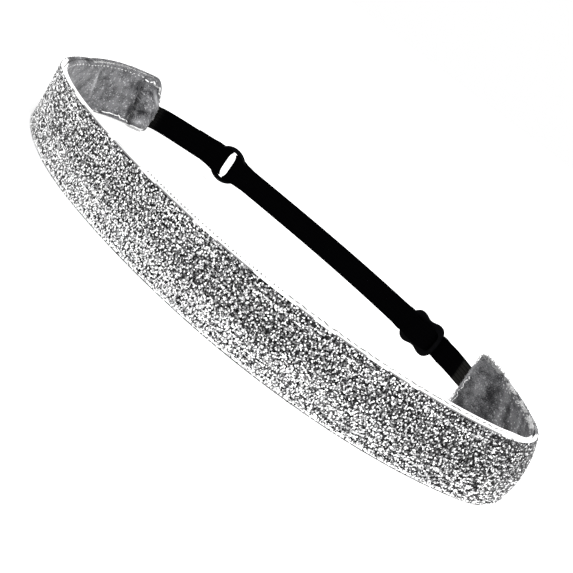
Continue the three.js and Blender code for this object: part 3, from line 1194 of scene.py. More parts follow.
def fray(
    name: str,
    band: Band,
    lines: tuple[FibreLine, ...],
    width: float,
    material: Material,
    seed: int,
) -> Piece:
    """Grows loose fibres along lines on the band's wall as one piece.

    Args:
        name: Name of the piece.
        band: The band.
        lines: The lines.
        width: Width of a fibre.
        material: Material of the fibres.
        seed: Seed of their places and directions.

    Returns:
        The new object.
    """
    rng = np.random.default_rng(seed)
    copies = []
    for line in lines:
        total = path_length(line.path)
        count = int(total * line.per_mm)
        places = rng.uniform(0, total, count)
        if line.tuft:
            roots = rng.choice(rng.uniform(0, total, int(total / line.tuft)), count)
            places = np.clip(roots + rng.normal(0, line.tuft_width * line.tuft, count), 0, total)
        along, height, _ = along_path(line.path, places)
        height = height + rng.normal(0, line.stray, count)
        depth = rng.uniform(*line.depth, count)
        wall = np.stack(band.axes(along, height, depth), axis=1)
        shares = np.array(line.lie) + rng.normal(0, line.spread, (count, 3))
        lie = unit(np.einsum("nk,nkc->nc", shares, wall))
        side = unit(np.cross(lie, unit(rng.normal(size=(count, 3)))))
        axes = np.stack([lie, side, np.cross(lie, side)], axis=1)
        length = rng.uniform(*line.reach, count)
        sizes = np.stack([length, np.full(count, width), length], axis=1)
        copies.append((band.point(along, height, depth), axes, sizes))
    return join_copies(name, band, blade_shape(), copies, material)


@dataclass(frozen=True)
class PaintedFlakeReflections:
    """Light and dark of the flakes: painted reflections in their greys.

    Shares are of the ribbon's length, from its left end. A pair of shares or heights says where a change
    starts and where it is full.

    Attributes:
        streaks: Drawn-out spots low down at the right.
        bends: The same at each bend, with their strength and the shares on its two sides.
        faded: How much the round spots fade among them.
        light: Shares, and the mean grey of the painted reflections at each.
        contrast: Shares, and the strength of the spots at each.
        thread: Strength of a lighter line of flakes that runs along the ribbon; its gaps come in
            thread_patch.
    """

    streaks: Span = (0.55, 0.85)
    streaks_height: Span = (13.0, 7.0)
    streaks_end: Span = (1.02, 0.9)
    bends: tuple[tuple[float, Span, Span], ...] = (
        (0.75, (0.4, 0.26), (0.1, 0.2)),
        (0.6, (0.68, 0.8), (0.97, 0.87)),
    )
    drawn_out: float = 2.6
    faded: float = 0.75
    boost: float = 1.1
    grit: float = 0.35
    light: Path = ((0.1, 0.68), (0.2, 0.85), (0.3, 0.8), (0.5, 0.73), (0.7, 0.59), (1.0, 0.6))
    dull: float = 0.3
    dull_height: Span = (6.0, 14.0)
    dull_share: Span = (0.15, 0.35)
    patches: float = 0.2
    patch: Span = (13.0, 4.0)
    patch_share: Span = (0.35, 0.55)
    contrast: Path = ((0.1, 0.5), (0.22, 0.82), (0.5, 0.48), (0.75, 0.58), (0.86, 0.68), (1.0, 0.5))
    streak_contrast: float = 0.25
    thread: float = 0.55
    thread_height: float = 21.5
    thread_width: float = 0.36
    thread_patch: Span = (9.0, 99.0)
    thread_gaps: float = 0.45
    limits: Span = (0.02, 1.0)

    def reflection_greys(self, along: Array, height: Array, share: Array, rng: np.random.Generator) -> Array:
        """sRGB grey of each flake, a painted reflection: light and dark alternate, drawn out at the bends
        and low at the right.

        Args:
            along: Grid of distances along the band.
            height: Grid of heights.
            share: Grid of shares of the ribbon's length.
            rng: Source of the noise.

        Returns:
            Grid of greys from 0 to 1.
        """
        streaky = ramp(share, *self.streaks) * ramp(height, *self.streaks_height)
        long = streaky * ramp(share, *self.streaks_end)
        for strength, one_side, other_side in self.bends:
            long = np.maximum(long, strength * ramp(share, *one_side) * ramp(share, *other_side))
        spots = speckle(along.shape, rng, 1.0) * (1 - self.faded * long)
        spots = spots + speckle(along.shape, rng, self.drawn_out) * self.boost * long
        spots = spots + rng.normal(0, self.grit, along.shape)
        mean = np.interp(share, *zip(*self.light))
        # Darker painted reflections on the upper part of the ribbon, from about a third of its length on.
        mean = mean - self.dull * ramp(height, *self.dull_height) * ramp(share, *self.dull_share)
        patches = value_noise(along / self.patch[0], height / self.patch[1], Seed.FLAKE_PATCHES) - 0.5
        mean = mean + self.patches * patches * ramp(share, *self.patch_share)
        depth = np.interp(share, *zip(*self.contrast)) * (1 + self.streak_contrast * streaky)
        long_cell, high_cell = self.thread_patch
        is_seen = value_noise(along / long_cell, height / high_cell, Seed.FLAKE_THREAD) > self.thread_gaps
        thread = self.thread * bell((height - self.thread_height) / self.thread_width) * is_seen
        return np.clip(mean + depth * spots + thread, *self.limits)


@dataclass(frozen=True)
class Ribbon:
    """The wide outer ribbon: woven cloth, the glue film on its outer face and the flakes in it.

    Common glitter is 0.2 to 0.4 mm across. The flakes are drawn coarser, so that each one shows.

    Attributes:
        selvedge_low: Where the white lower selvedge starts and ends, above a dark line of bare film that is
            painted shade along the lower edge.
        white_rim: Stretch of the band whose top rim is bare cloth in front; beyond it the nap laps over.
        lap: How much sooner the nap laps over the top and the back of the rim.
        rim_shade: Stretch of that rim with a broken grey line on it: painted shade, drawn in the grey edge
            thread's material.
        flake_drift: How far a flake may lie off its place, in spacings.
        flake_cover: Share of flakes left on the painted shade line of bare film, on the selvedge and above
            it.
        flake_margins: How far the flakes stay off the lower edge and the top selvedge.
    """

    band: Band
    rounding: float = 0.5
    step: float = 1.6
    rim_rows: int = 5
    flat_rows: int = 60
    selvedge_low: Span = (0.5, 1.1)
    selvedge_top: float = 0.2
    white_rim: Span = (-119.5, 141.0)
    lap: Span = (2.5, 5.0)
    nap_rows: int = 11
    rim_shade: Span = (-85.0, 112.0)
    rim_shade_run: float = 5.0
    rim_shade_gaps: float = 0.4
    rim_shade_rows: int = 3
    flake_spacing: float = 0.46
    flake_radius: Span = (0.24, 0.37)
    flake_drift: float = 0.34
    flake_depth: Span = (-0.12, 0.03)
    flake_tilt: float = 0.2
    flake_cover: Triple = (0.4, 0.75, 1.0)
    flake_margins: Span = (0.34, 0.15)
    # Greys of the flakes, painted reflections.
    tone: PaintedFlakeReflections = PaintedFlakeReflections()

    def build(self) -> None:
        """Builds the cloth and its flakes."""
        cloth = place_piece(self.cloth(), Slot.GLITTER, "glitter_ribbon")
        flakes = place_piece(self.flakes(), Slot.GLITTER)
        self.band.width * MM
        self.band.length * MM

    def cloth(self) -> Piece:
        """The woven ply, with white selvedges and glue film between them on its outer face, and painted
        shade: bare film along the lower edge, grey on the top rim.

        Returns:
            The new object.
        """
        along = self.band.stations(0, self.step)
        heights, fullness = rounded_rows(
            *self.band.edges(along, 0), self.rounding, self.rim_rows, self.flat_rows
        )
        half = self.band.ribbon_depth / 2
        front = self.band.point(along[:, None], heights, half - half * fullness)
        back = self.band.point(along[:, None], heights, half + half * fullness)
        typical = heights[len(along) // 2]
        slots = self.slots(along, (typical[1:] + typical[:-1]) / 2)
        shares = (along - along[0]) / (along[-1] - along[0])
        data = closed_ply(front, back, shares, typical / self.band.width, *slots)
        plies = (WovenRibbon(), GlueFilm(), BrushedVelvet())
        materials = [ply.material(self.band.length, self.band.width) for ply in plies]
        materials.append(EDGE_THREAD.material())
        return data.build("ribbon_cloth", materials, self.band.origin())

    def slots(self, along: Array, middles: Array) -> tuple[Array, Array]:
        """Which material each face of the cloth has.

        Args:
            along: Stations along the band.
            middles: Height of the middle of each row of faces.

        Returns:
            Material numbers of the front and of the back.
        """
        is_film = (middles > self.selvedge_low[1]) & (middles < self.band.width - self.selvedge_top)
        # Bare glue film below the lower selvedge: a dark line of painted shade along the lower edge.
        is_film |= middles < self.selvedge_low[0]
        front = np.where(is_film, RibbonFace.FILM, RibbonFace.WOVEN)
        front = np.repeat(front[None], len(along) - 1, axis=0)
        back = np.full_like(front, RibbonFace.WOVEN)
        # Painted shade: a broken grey line along the top rim, in the grey edge thread's material.
        is_rim_shade = (along[1:] > self.rim_shade[0]) & (along[:-1] < self.rim_shade[1])
        runs = value_noise(along[1:] / self.rim_shade_run, along[1:] * 0, Seed.RIM_SHADE_GAPS)
        is_rim_shade &= runs > self.rim_shade_gaps
        front[is_rim_shade, -self.rim_shade_rows :] = RibbonFace.RIM_SHADE
        over = np.linspace(0, self.lap[0], self.rim_rows)
        rim = np.linspace(self.lap[1], self.lap[0], self.rim_rows)
        down = np.concatenate([np.full(self.nap_rows, self.lap[1]), rim])
        for slots, inward in ((front, over), (back, down)):
            slots[:, -len(inward) :][beyond(along, self.white_rim, inward)] = RibbonFace.NAP
        return front, back

    def flakes(self) -> Piece:
        """Hexagonal flakes pressed into the film, as one joined mesh with a grey for each flake, its painted
        reflection.

        Returns:
            The new object.
        """
        rng = np.random.default_rng(Seed.FLAKES)
        left, right = self.band.left.at, self.band.right.at
        spots = np.meshgrid(
            np.arange(left + 0.3, right - 0.2, self.flake_spacing),
            np.arange(0.1, self.band.width - self.selvedge_top, self.flake_spacing),
            indexing="ij",
        )
        reflection_greys = self.tone.reflection_greys(*spots, (spots[0] - left) / self.band.length, rng).ravel()
        drift = self.flake_drift * self.flake_spacing
        along, height = ((spot + rng.uniform(-1, 1, spot.shape) * drift).ravel() for spot in spots)
        low, high = self.band.edges(along, 0)
        is_kept = height > low + self.flake_margins[0]
        is_kept &= height < high - self.selvedge_top - self.flake_margins[1]
        above = self.selvedge_low[1] + 0.01
        cover = np.interp(height, (*self.selvedge_low, above), self.flake_cover)
        is_kept &= rng.random(len(height)) < cover
        along, height, reflection_greys = along[is_kept], height[is_kept], reflection_greys[is_kept]
        count = len(along)
        depth = rng.uniform(*self.flake_depth, count)
        run, rise, out = self.band.axes(along, height, depth)
        tilt = rng.normal(0, self.flake_tilt, (count, 2))
        normal = unit(out + run * tilt[:, :1] + rise * tilt[:, 1:])
        spin = rng.uniform(0, math.pi, count)[:, None]
        first = run * np.cos(spin) + rise * np.sin(spin)
        first = unit(first - normal * np.sum(first * normal, axis=1, keepdims=True))
        axes = np.stack([first, np.cross(normal, first), normal], axis=1)
        sizes = np.repeat(rng.uniform(*self.flake_radius, count)[:, None], 3, axis=1)
        sides = 6
        turn = np.arange(sides) / sides * 2 * math.pi
        hexagon = np.stack([np.cos(turn), np.sin(turn), np.zeros(sides)], axis=1)
        centres = self.band.point(along, height, depth)
        data = scattered(hexagon, [np.arange(sides)[None]], centres, axes, sizes)
        finish = FilmFlakes()
        piece = data.build("glitter_flakes", [finish.material()], self.band.origin(), is_smooth=False)
        # Each flake's painted reflection grey, stored on its points.
        grey = np.repeat(to_linear(reflection_greys), sides)
        colours = np.stack([grey, grey, grey * 1.01, np.ones_like(grey)], axis=1)
        layer = piece.data.color_attributes.new(finish.attribute, "FLOAT_COLOR", "POINT")
        layer.data.foreach_set("color", np.clip(colours, 0, 1).ravel())
        return piece


@dataclass(frozen=True)
class Crease:
    """A line where the cloth stands up or sinks and its nap is painted lighter or darker: turned nap,
    painted light and painted shade.

    Attributes:
        start: Distance along the band and height of one end.
        stop: The same for the other end.
        width: Half width of the line.
        rise: How far the cloth stands up.
        nap_and_painted_light: How much lighter the nap is painted; below zero it is painted shade.
    """

    start: Span
    stop: Span
    width: float
    rise: float
    nap_and_painted_light: float

    def weight(self, along: Array, height: Array) -> Array:
        """How much of the crease reaches each point.

        Args:
            along: Distances along the band.
            height: Heights up its wall.

        Returns:
            Weights from 0 to 1.
        """
        first = np.array(self.start)
        line = np.array(self.stop) - first
        place = np.stack([along, height], axis=-1) - first
        share = np.clip(place @ line / (line @ line), 0, 1)
        off = np.linalg.norm(place - share[..., None] * line, axis=-1)
        return bell(off / self.width) * np.sin(math.pi * np.clip(share, 0.1, 0.9))


def creased(creases: tuple[Crease, ...], along: Array, height: Array) -> tuple[Array, Array]:
    """What creases do to each point of a cloth.

    Args:
        creases: The creases.
        along: Distances along the band.
        height: Heights up its wall.

    Returns:
        How far the cloth stands up, and how much lighter its nap is painted, for turned nap and painted
        light and shade.
    """
    weights = [crease.weight(along, height) for crease in creases]
    rise = sum(crease.rise * weight for crease, weight in zip(creases, weights))
    nap_and_painted_light = sum(crease.nap_and_painted_light * weight for crease, weight in zip(creases, weights))
    return rise, nap_and_painted_light


@dataclass(frozen=True)
class Lining:
    """The velvet ribbon behind the glitter, with a white woven edge that stands up behind the glitter's rim.

    Attributes:
        white_rim: Stretch of the band with the white edge.
        lap: How much sooner that stretch ends on the top and on the inner face.
        stands: Stretch of the band where the white edge stands up.
        proud: How far the white edge stands above the rest of the lining.
        dotted: Place along the band where the dots of thread on it turn into dashes.
        run_out: Lengths over which the white edge sinks to the rest at its left and right ends.
        rows: Heights of the two rows of stitches on the inner face.
        bare: How much later the low row starts at the left.
    """

    band: Band
    depth: float = 1.8
    thickness: float = 1.0
    inset: float = 0.5
    rounding: float = 0.4
    step: float = 0.9
    rim_rows: int = 4
    flat_rows: int = 34
    front_rows: int = 12
    white_rim: Span = (-114.0, 136.0)
    lap: Span = (2.0, 8.0)
    stands: Span = (-102.0, 133.0)
    proud: float = 1.45
    dotted: float = 22.0
    run_out: Span = (64.0, 22.0)
    rows: Span = (1.2, 23.4)
    pitches: Span = (3.4, 2.9)
    clear: Span = (13.0, 16.0)
    bare: float = 13.0
    sunk: float = 0.05
    thread_drop: float = 0.5
    waves: float = 0.3
    wave: Span = (5.0, 6.0)
    pucker: float = 0.1
    pucker_width: float = 1.2
    # Painted light: the whole left half of the lining is a little lighter.
    left_painted_light: float = 0.04
    fibre: float = 0.16
    # Each crease's last number paints the nap. The first is a crease of turned nap; the others are soft
    # folds, painted light where they rise and painted shade where they sink, the two beside the left flap
    # being its painted shadow.
    creases: tuple[Crease, ...] = (
        Crease((-150.6, 22.0), (-160.2, 7.5), 0.5, 0.4, 0.9),
        Crease((-128.0, 22.0), (-138.0, 6.0), 5.0, 0.1, 0.2),
        Crease((-172.0, 20.0), (-176.5, 8.0), 2.0, 0.15, 0.1),
        Crease((-164.0, 19.0), (-168.0, 6.0), 2.5, -0.1, -0.15),
        Crease((-181.4, 23.5), (-184.4, 13.0), 1.0, -0.2, -0.55),
        Crease((-184.6, 12.0), (-187.5, 2.0), 0.9, -0.2, -0.5),
        Crease((184.0, 24.0), (179.0, 7.0), 2.6, -0.1, -0.4),
        Crease((175.5, 21.0), (174.5, 6.0), 1.6, 0.2, 0.12),
        Crease((170.0, 21.0), (169.0, 6.0), 1.8, -0.1, -0.15),
        Crease((163.0, 23.0), (160.5, 9.0), 1.2, 0.2, 0.25),
        Crease((152.0, 24.0), (150.0, 10.0), 1.4, 0.2, 0.2),
    )

    def build(self) -> None:
        """Builds the cloth, its stitches and its loose fibres."""
        cloth = place_piece(self.cloth(), Slot.VELVET, "velvet_lining")
        stitches = place_piece(self.stitches(), Slot.VELVET)
        edge_stitches = place_piece(self.edge_stitches(), Slot.VELVET)
        fibres = place_piece(self.fibres(), Slot.VELVET)
        length = self.band.length - 2 * self.inset
        self.width * MM

    @property
    def width(self) -> float:
        """Width where the white edge stands up."""
        return self.band.width - 2 * self.inset + self.proud

    def stitches(self) -> Piece:
        """The two rows of stitches on the inner face, as uneven short and long dashes.

        Returns:
            The new object.
        """
        first, last = self.band.left.at + self.clear[0], self.band.right.at - self.clear[1]
        low, top = self.rows
        lines = (
            StitchLine(((first, top), (last, top)), self.pitches[1], 1.1, 0.55, 16),
            StitchLine(((first + self.bare, low), (last, low)), self.pitches[0], 2.4, 0.42),
        )
        thread = SpunThread("polyester_thread_grey", "#D2D2D2", "#A6A6A6").material()
        depth_at = level(self.depth + self.thickness - self.sunk)
        return sew("lining_stitches", self.band, lines, depth_at, True, thread, Seed.LINING_STITCHES)

    def edge_stitches(self) -> Piece:
        """Grey stitches on the outer face of the white edge: dots at the left, thin dashes at the right.

        Returns:
            The new object.
        """
        height = self.inset + self.width - self.thread_drop
        first, last = self.stands[0] + self.run_out[0], self.stands[1] - self.run_out[1]
        lines = (
            StitchLine(((first, height), (self.dotted, height)), 1.6, 0.75, 0.46, 30),
            StitchLine(((self.dotted, height), (last, height)), 2.7, 2.5, 0.4),
        )
        thread = EDGE_THREAD.material()
        depth_at = level(self.depth + self.sunk)
        return sew("lining_edge_stitches", self.band, lines, depth_at, False, thread, Seed.EDGE_STITCHES)

    def rise(self, along: Array) -> Array:
        """How far the top edge stands up at places along the band."""
        left = smooth((along - self.stands[0]) / self.run_out[0])
        right = smooth((self.stands[1] - along) / self.run_out[1])
        return self.proud * left * right

    def cloth(self) -> Piece:
        """The velvet ply, puckered along its stitches and creased, with turned nap and painted light and
        shade along the creases.

        Returns:
            The new object.
        """
        along = self.band.stations(self.inset, self.step)
        low, high = self.band.edges(along, self.inset)
        high = high + self.rise(along)
        heights, fullness = rounded_rows(low, high, self.rounding, self.rim_rows, self.flat_rows)
        stations = np.broadcast_to(along[:, None], heights.shape)
        rise, nap_and_painted_light = creased(self.creases, stations, heights)
        relief = self.relief(stations, heights) + rise
        half = self.thickness / 2
        front = self.band.point(stations, heights, self.depth + half - half * fullness)
        back = self.band.point(stations, heights, self.depth + half + (half + relief) * fullness)
        typical = heights[len(along) // 2]
        length = along[-1] - along[0]
        places = (typical - self.inset) / self.width
        data = closed_ply(front, back, (along - along[0]) / length, places, *self.slots(along, len(typical)))
        materials = [ply.material(length, self.width) for ply in (BrushedVelvet(), WovenRibbon())]
        piece = data.build("lining_cloth", materials, self.band.origin())
        # Painted light on the whole left half, plus the creases' turned nap and painted light and shade.
        set_nap_and_painted_light(piece, np.where(stations < 0, self.left_painted_light, 0.0) + nap_and_painted_light)
        return piece

    def slots(self, along: Array, columns: int) -> tuple[Array, Array]:
        """Which material each face of the cloth has.

        Args:
            along: Stations along the band.
            columns: Columns of points at each station.

        Returns:
            Material numbers of the front and of the back.
        """
        shape = (len(along) - 1, columns - 1)
        front = np.full(shape, LiningFace.WOVEN)
        back = np.full(shape, LiningFace.VELVET)
        is_past = beyond(along, self.white_rim, np.zeros(self.front_rows))
        front[:, -self.front_rows :][is_past] = LiningFace.VELVET
        is_past = beyond(along, self.white_rim, np.linspace(self.lap[1], self.lap[0], self.rim_rows))
        back[:, -self.rim_rows :][~is_past] = LiningFace.WOVEN
        return front, back

    def relief(self, along: Array, height: Array) -> Array:
        """How far the inner face stands in from a smooth wall, apart from its creases.

        Args:
            along: Distances along the band.
            height: Heights up its wall.

        Returns:
            Distances in millimetres.
        """
        waves = value_noise(along / self.wave[0], height / self.wave[1], Seed.LINING_WAVES) - 0.5
        total = self.waves * waves
        for row, pitch in zip(self.rows, self.pitches):
            pucker = self.pucker * np.sin(2 * math.pi * along / pitch)
            total = total + pucker * bell((height - row) / self.pucker_width)
        return total

    def fibres(self) -> Piece:
        """Frayed pile along the top rim past both bends.

        Returns:
            The new object.
        """
        top = self.band.width - self.inset
        lines = (
            FibreLine(((140, top), (197, top)), (1.7, 2.9), 24, (0.5, 1.7), (0, 1.0, -0.6), 0.6, 1.7),
            FibreLine(((-140, top), (-187, top)), (1.7, 2.9), 12, (0.2, 0.5), (0, 1.0, -0.4)),
        )
        pile = SpunThread("nylon_pile_frayed", "#EDEDED", "#9C9C9C").material()
        return fray("lining_fibres", self.band, lines, self.fibre, pile, Seed.LINING_FIBRES)


@dataclass(frozen=True)
class EndFlap:
    """The fold of velvet over the strap's end: it clears the strap and lies on the lining round it.

    Attributes:
        feather: Share of the length over which the inner edge thins out on to the lining.
        wrinkle: Height of the small dents; dent is their size along the band and up it.
        slant: How much longer the flap gets with each millimetre up.
        pocket_depth: Depth of the flap's outer face beside the strap; over it, it lies deeper by lift.
        pinch: How flat the bulges are along the band, and how steep at their ends.
        edge_share: Share of the thickness at which the front and the back meet at the edges.
        squareness: How late the flap rounds off at its two ends.
    """

    band: Band
    end: BandEnd
    name: str
    node: str
    seed: int
    feather: float
    wrinkle: float
    slant: float
    flecks: float
    creases: tuple[Crease, ...]
    seams: tuple[StitchLine, ...]
    edges: tuple[FibreLine, ...]
    lining_face: float = 2.85
    pocket_depth: float = 3.1
    lift: float = 1.3
    thickness: float = 1.0
    slope: float = 2.4
    pinch: float = 4.0
    dent: Span = (2.6, 2.2)
    # Painted highlight on the bulges, in step with their swell.
    wear_and_painted_highlight: float = 0.08
    thinnest: float = 0.2
    thinning: float = 0.75
    edge_share: float = 0.4
    squareness: int = 20
    rounding: float = 0.7
    rim_rows: int = 5
    flat_rows: int = 70
    columns: int = 56
    fibre: float = 0.2

    def build(self) -> None:
        """Builds the flap, its thread and its loose fibres."""
        piece = place_piece(self.cloth(), Slot.VELVET, self.node)
        thread = SpunThread("polyester_thread_flap", "#FFFFFF", "#CFCFCF").material()
        pile = SpunThread("nylon_pile_cut", "#B4B4B4", "#5A5A5A").material()
        names = [f"{self.name}_{kind}" for kind in ("thread", "fibres")]
        sewn = sew(names[0], self.band, self.seams, self.inner_depth, True, thread, self.seed + 1)
        loose = fray(names[1], self.band, self.edges, self.fibre, pile, self.seed + 2)
        float(self.reach(self.band.width / 2)) * MM
        self.width * MM
        self.area()
        place_piece(sewn, Slot.VELVET)
        place_piece(loose, Slot.VELVET)

    @property
    def width(self) -> float:
        """Width of the cut."""
        return self.band.width - 2 * self.end.flap_inset

    def area(self) -> float:
        """Flat area of the cut in square metres, with its rounded corners taken off."""
        share = np.linspace(0, 1, 200)
        low, high = self.band.edges(self.along(share, self.end.strap_height), self.end.flap_inset)
        return float(np.mean(high - low) * self.reach(self.band.width / 2) * MM * MM)

    def reach(self, height: Array | float) -> Array | float:
        """Length of the flap at a height, the same as its cut at the level of the strap."""
        return self.end.flap_length + self.slant * (height - self.end.strap_height)

    def along(self, share: Array, height: Array | float) -> Array:
        """Places along the band, from the end inwards."""
        return self.end.at - self.end.side * (self.end.flap_inset + self.reach(height) * share)

    def outer_depth(self, along: Array, height: Array) -> Array:
        """Depth of the face that lies on the strap and the lining.

        Args:
            along: Distances along the band.
            height: Heights up its wall.

        Returns:
            Depths in millimetres.
        """
        past = np.abs(height - self.end.strap_height) - self.end.strap_width / 2 - self.slope / 2
        back = self.pocket_depth + self.lift * smooth(1 - past / self.slope)
        down = self.thinned(self.share(along, height))
        return back + (self.lining_face - back) * down

    def inner_depth(self, along: Array, height: Array) -> Array:
        """Depth of the face that shows inside the loop.

        Args:
            along: Distances along the band.
            height: Heights up its wall.

        Returns:
            Depths in millimetres.
        """
        share = self.share(along, height)
        dents = value_noise(along / self.dent[0] + 99, height / self.dent[1], self.seed) - 0.5
        body = self.thickness + self.swell(height, share) + self.wrinkle * dents
        body = np.maximum(body + creased(self.creases, along, height)[0], self.thinnest)
        return self.outer_depth(along, height) + body * (1 - self.thinning * self.thinned(share))

    def share(self, along: Array, height: Array) -> Array:
        """Share of the flap's length at places on the band, from the end inwards."""
        return (np.abs(self.end.at - along) - self.end.flap_inset) / self.reach(height)

    def thinned(self, share: Array) -> Array:
        """How far the inner edge has thinned out, from 0 to 1."""
        return smooth((share - 1 + self.feather) / self.feather)

    def cloth(self) -> Piece:
        """The fold itself, with its bulges, wrinkles and rounded edges.

        Returns:
            The new object.
        """
        share = (1 - np.cos(np.linspace(0, math.pi, self.columns))) / 2
        if self.end.side > 0:
            share = share[::-1]
        along = self.along(share, self.end.strap_height)
        low, high = self.band.edges(along, self.end.flap_inset)
        heights, fullness = rounded_rows(low, high, self.rounding, self.rim_rows, self.flat_rows)
        stations = self.along(share[:, None], heights)
        shares = np.broadcast_to(share[:, None], heights.shape)
        full = fullness * np.sqrt(np.clip(1 - (2 * shares - 1) ** self.squareness, 0.1, 1))
        outer = self.outer_depth(stations, heights)
        inner = self.inner_depth(stations, heights)
        middle = outer + self.edge_share * np.minimum(inner - outer, self.thickness)
        front = self.band.point(stations, heights, middle + (outer - middle) * full)
        back = self.band.point(stations, heights, middle + (inner - middle) * full)
        typical = heights[0 if self.end.side > 0 else -1]
        plain = np.zeros(len(typical) - 1, int)
        lengths = share if self.end.side < 0 else 1 - share
        places = (typical - typical[0]) / (typical[-1] - typical[0])
        data = closed_ply(front, back, lengths, places, plain, plain)
        velvet = BrushedVelvet(flecks=self.flecks).material(self.end.flap_length, self.width)
        piece = data.build(self.name, [velvet], self.band.origin())
        nap_and_painted_light = creased(self.creases, stations, heights)[1]
        # Painted highlight on the bulges, with the creases' painted light and shade.
        set_nap_and_painted_light(piece, self.wear_and_painted_highlight * self.swell(heights, shares) + nap_and_painted_light)
        return piece

    def swell(self, height: Array, share: Array) -> Array:
        """How far the stuffing pushes the fold out.

        Args:
            height: Heights up the band's wall.
            share: Shares of the flap's length, from the end inwards.

        Returns:
            Distances in millimetres.
        """
        most = np.zeros_like(height)
        for bulge in self.end.bulges:
            off = np.minimum(np.abs(height - bulge.at) / bulge.reach, 1)
            pinched = 1 - np.abs(2 * share - 1) ** self.pinch
            most = np.maximum(most, bulge.rise * pinched * np.cos(off * math.pi / 2) ** 2)
        return most


def left_flap(band: Band) -> EndFlap:
    """The puffy flap at the left, with a sewn groove between its two bulges.

    Args:
        band: The band.

    Returns:
        The flap, not yet built.
    """
    # Each crease's last number paints the nap: painted shade in the grooves, painted highlight on the ridges
    # and the lower bulge, and painted shadow along the flap's inner edge in the last one.
    creases = (
        Crease((-185.0, 8.6), (-198.0, 10.4), 0.8, -0.9, -0.5),
        Crease((-186.5, 20.5), (-192.0, 16.0), 0.7, -0.5, -0.3),
        Crease((-190.5, 20.0), (-196.0, 14.0), 0.6, 0.35, 0.5),
        Crease((-188.0, 15.5), (-190.0, 11.5), 0.8, -0.4, -0.3),
        Crease((-188.5, 3.5), (-194.0, 5.5), 0.7, 0.3, 0.4),
        Crease((-187.0, 6.0), (-191.0, 6.8), 0.5, -0.3, -0.2),
        Crease((-189.0, 4.5), (-195.5, 5.0), 2.6, 0.0, 0.16),
        Crease((-182.4, 23.5), (-188.4, 2.0), 0.5, -0.2, -0.4),
    )
    top = ((-182.8, 22.9), (-188.0, 23.2), (-192.5, 21.6), (-195.0, 18.2), (-196.4, 14.5))
    low = (
        (-173.5, 2.0),
        (-179.0, 2.5),
        (-183.0, 2.5),
        (-186.6, 2.0),
        (-189.5, 1.7),
        (-192.5, 1.6),
        (-196.5, 2.0),
    )
    corner = ((-187, 22.8), (-192, 22.0), (-196, 16.5), (-198, 8))
    edges = (
        FibreLine(corner, (4.2, 5.4), 14, (0.3, 0.8), (-0.5, 0.7, -0.3)),
        FibreLine(((-187.2, 2), (-187.2, 22)), (3.2, 4.6), 8, (0.2, 0.5), (0.8, 0.0, -0.4)),
    )
    return EndFlap(
        band=band,
        end=band.left,
        name="left_flap_cloth",
        node="left_end_flap",
        seed=Seed.LEFT_FLAP,
        feather=0.05,
        wrinkle=0.7,
        slant=0.28,
        flecks=0.8,
        creases=creases,
        seams=(StitchLine(top, 2.2, 2.4, 0.65, 20), StitchLine(low, 2.3, 2.5, 0.5, 8)),
        edges=edges,
    )


def right_flap(band: Band) -> EndFlap:
    """The flat flap at the right, with a wavy fold of thread inside its cut end.

    Args:
        band: The band.

    Returns:
        The flap, not yet built.
    """
    # Each crease's last number paints the nap: painted highlight along the fold at the cut end and on a low
    # swell, painted shade in the groove beside the fold and in the broad diagonal nearer the lining.
    creases = (
        Crease((197.4, 1.0), (196.6, 24.0), 0.5, 0.1, 0.3),
        Crease((195.2, 2.0), (194.2, 18.0), 0.7, -0.3, -0.25),
        Crease((190.0, 16.5), (189.5, 9.0), 2.4, 0.15, 0.1),
        Crease((184.5, 24.0), (183.0, 4.0), 2.2, -0.1, -0.35),
    )
    wave = tuple((196.3 + 0.5 * math.sin(k * 1.9) - 0.05 * k, 1.6 + 1.4 * k) for k in range(11))
    edges = (
        FibreLine(((197.6, 1), (197.6, 24.5)), (3.6, 5.0), 16, (0.2, 0.7), (0.8, 0.1, -0.2)),
        FibreLine(((197.2, 24.8), (195.5, 24.9)), (3.0, 4.8), 34, (0.6, 1.8), (0.5, 0.9, -0.2)),
        FibreLine(((196, 25), (181, 25)), (0.6, 4.2), 22, (0.8, 2.4), (-0.3, 0.9, 0.3), 0.5, 0.9),
    )
    return EndFlap(
        band=band,
        end=band.right,
        name="right_flap_cloth",
        node="right_end_flap",
        seed=Seed.RIGHT_FLAP,
        feather=0.3,
        wrinkle=0.35,
        slant=0.0,
        flecks=0.4,
        creases=creases,
        seams=(StitchLine(wave, 1.5, 1.35, 0.34, 12),),
        edges=edges,
    )


# Strap


@dataclass(frozen=True)
class Seat:
    """Where a piece of hardware lies in the strap.

    Attributes:
        place: Its middle.
        heading: Direction of the strap there, in degrees.
        reach: How far the strap runs straight on both sides.
    """

    place: Triple
    heading: float
    reach: float

    @property
    def axes(self) -> Array:
        """Directions along the strap, up and towards the head, one a row."""
        angle = math.radians(self.heading)
        x, y = math.cos(angle), math.sin(angle)
        return np.array([[x, y, 0], [0, 0, 1], [y, -x, 0]])


RING_SEAT = Seat((-60.5, 121.5, 12.7), 4, 9)
SLIDER_SEAT = Seat((49.7, 119, 12), -9, 10)


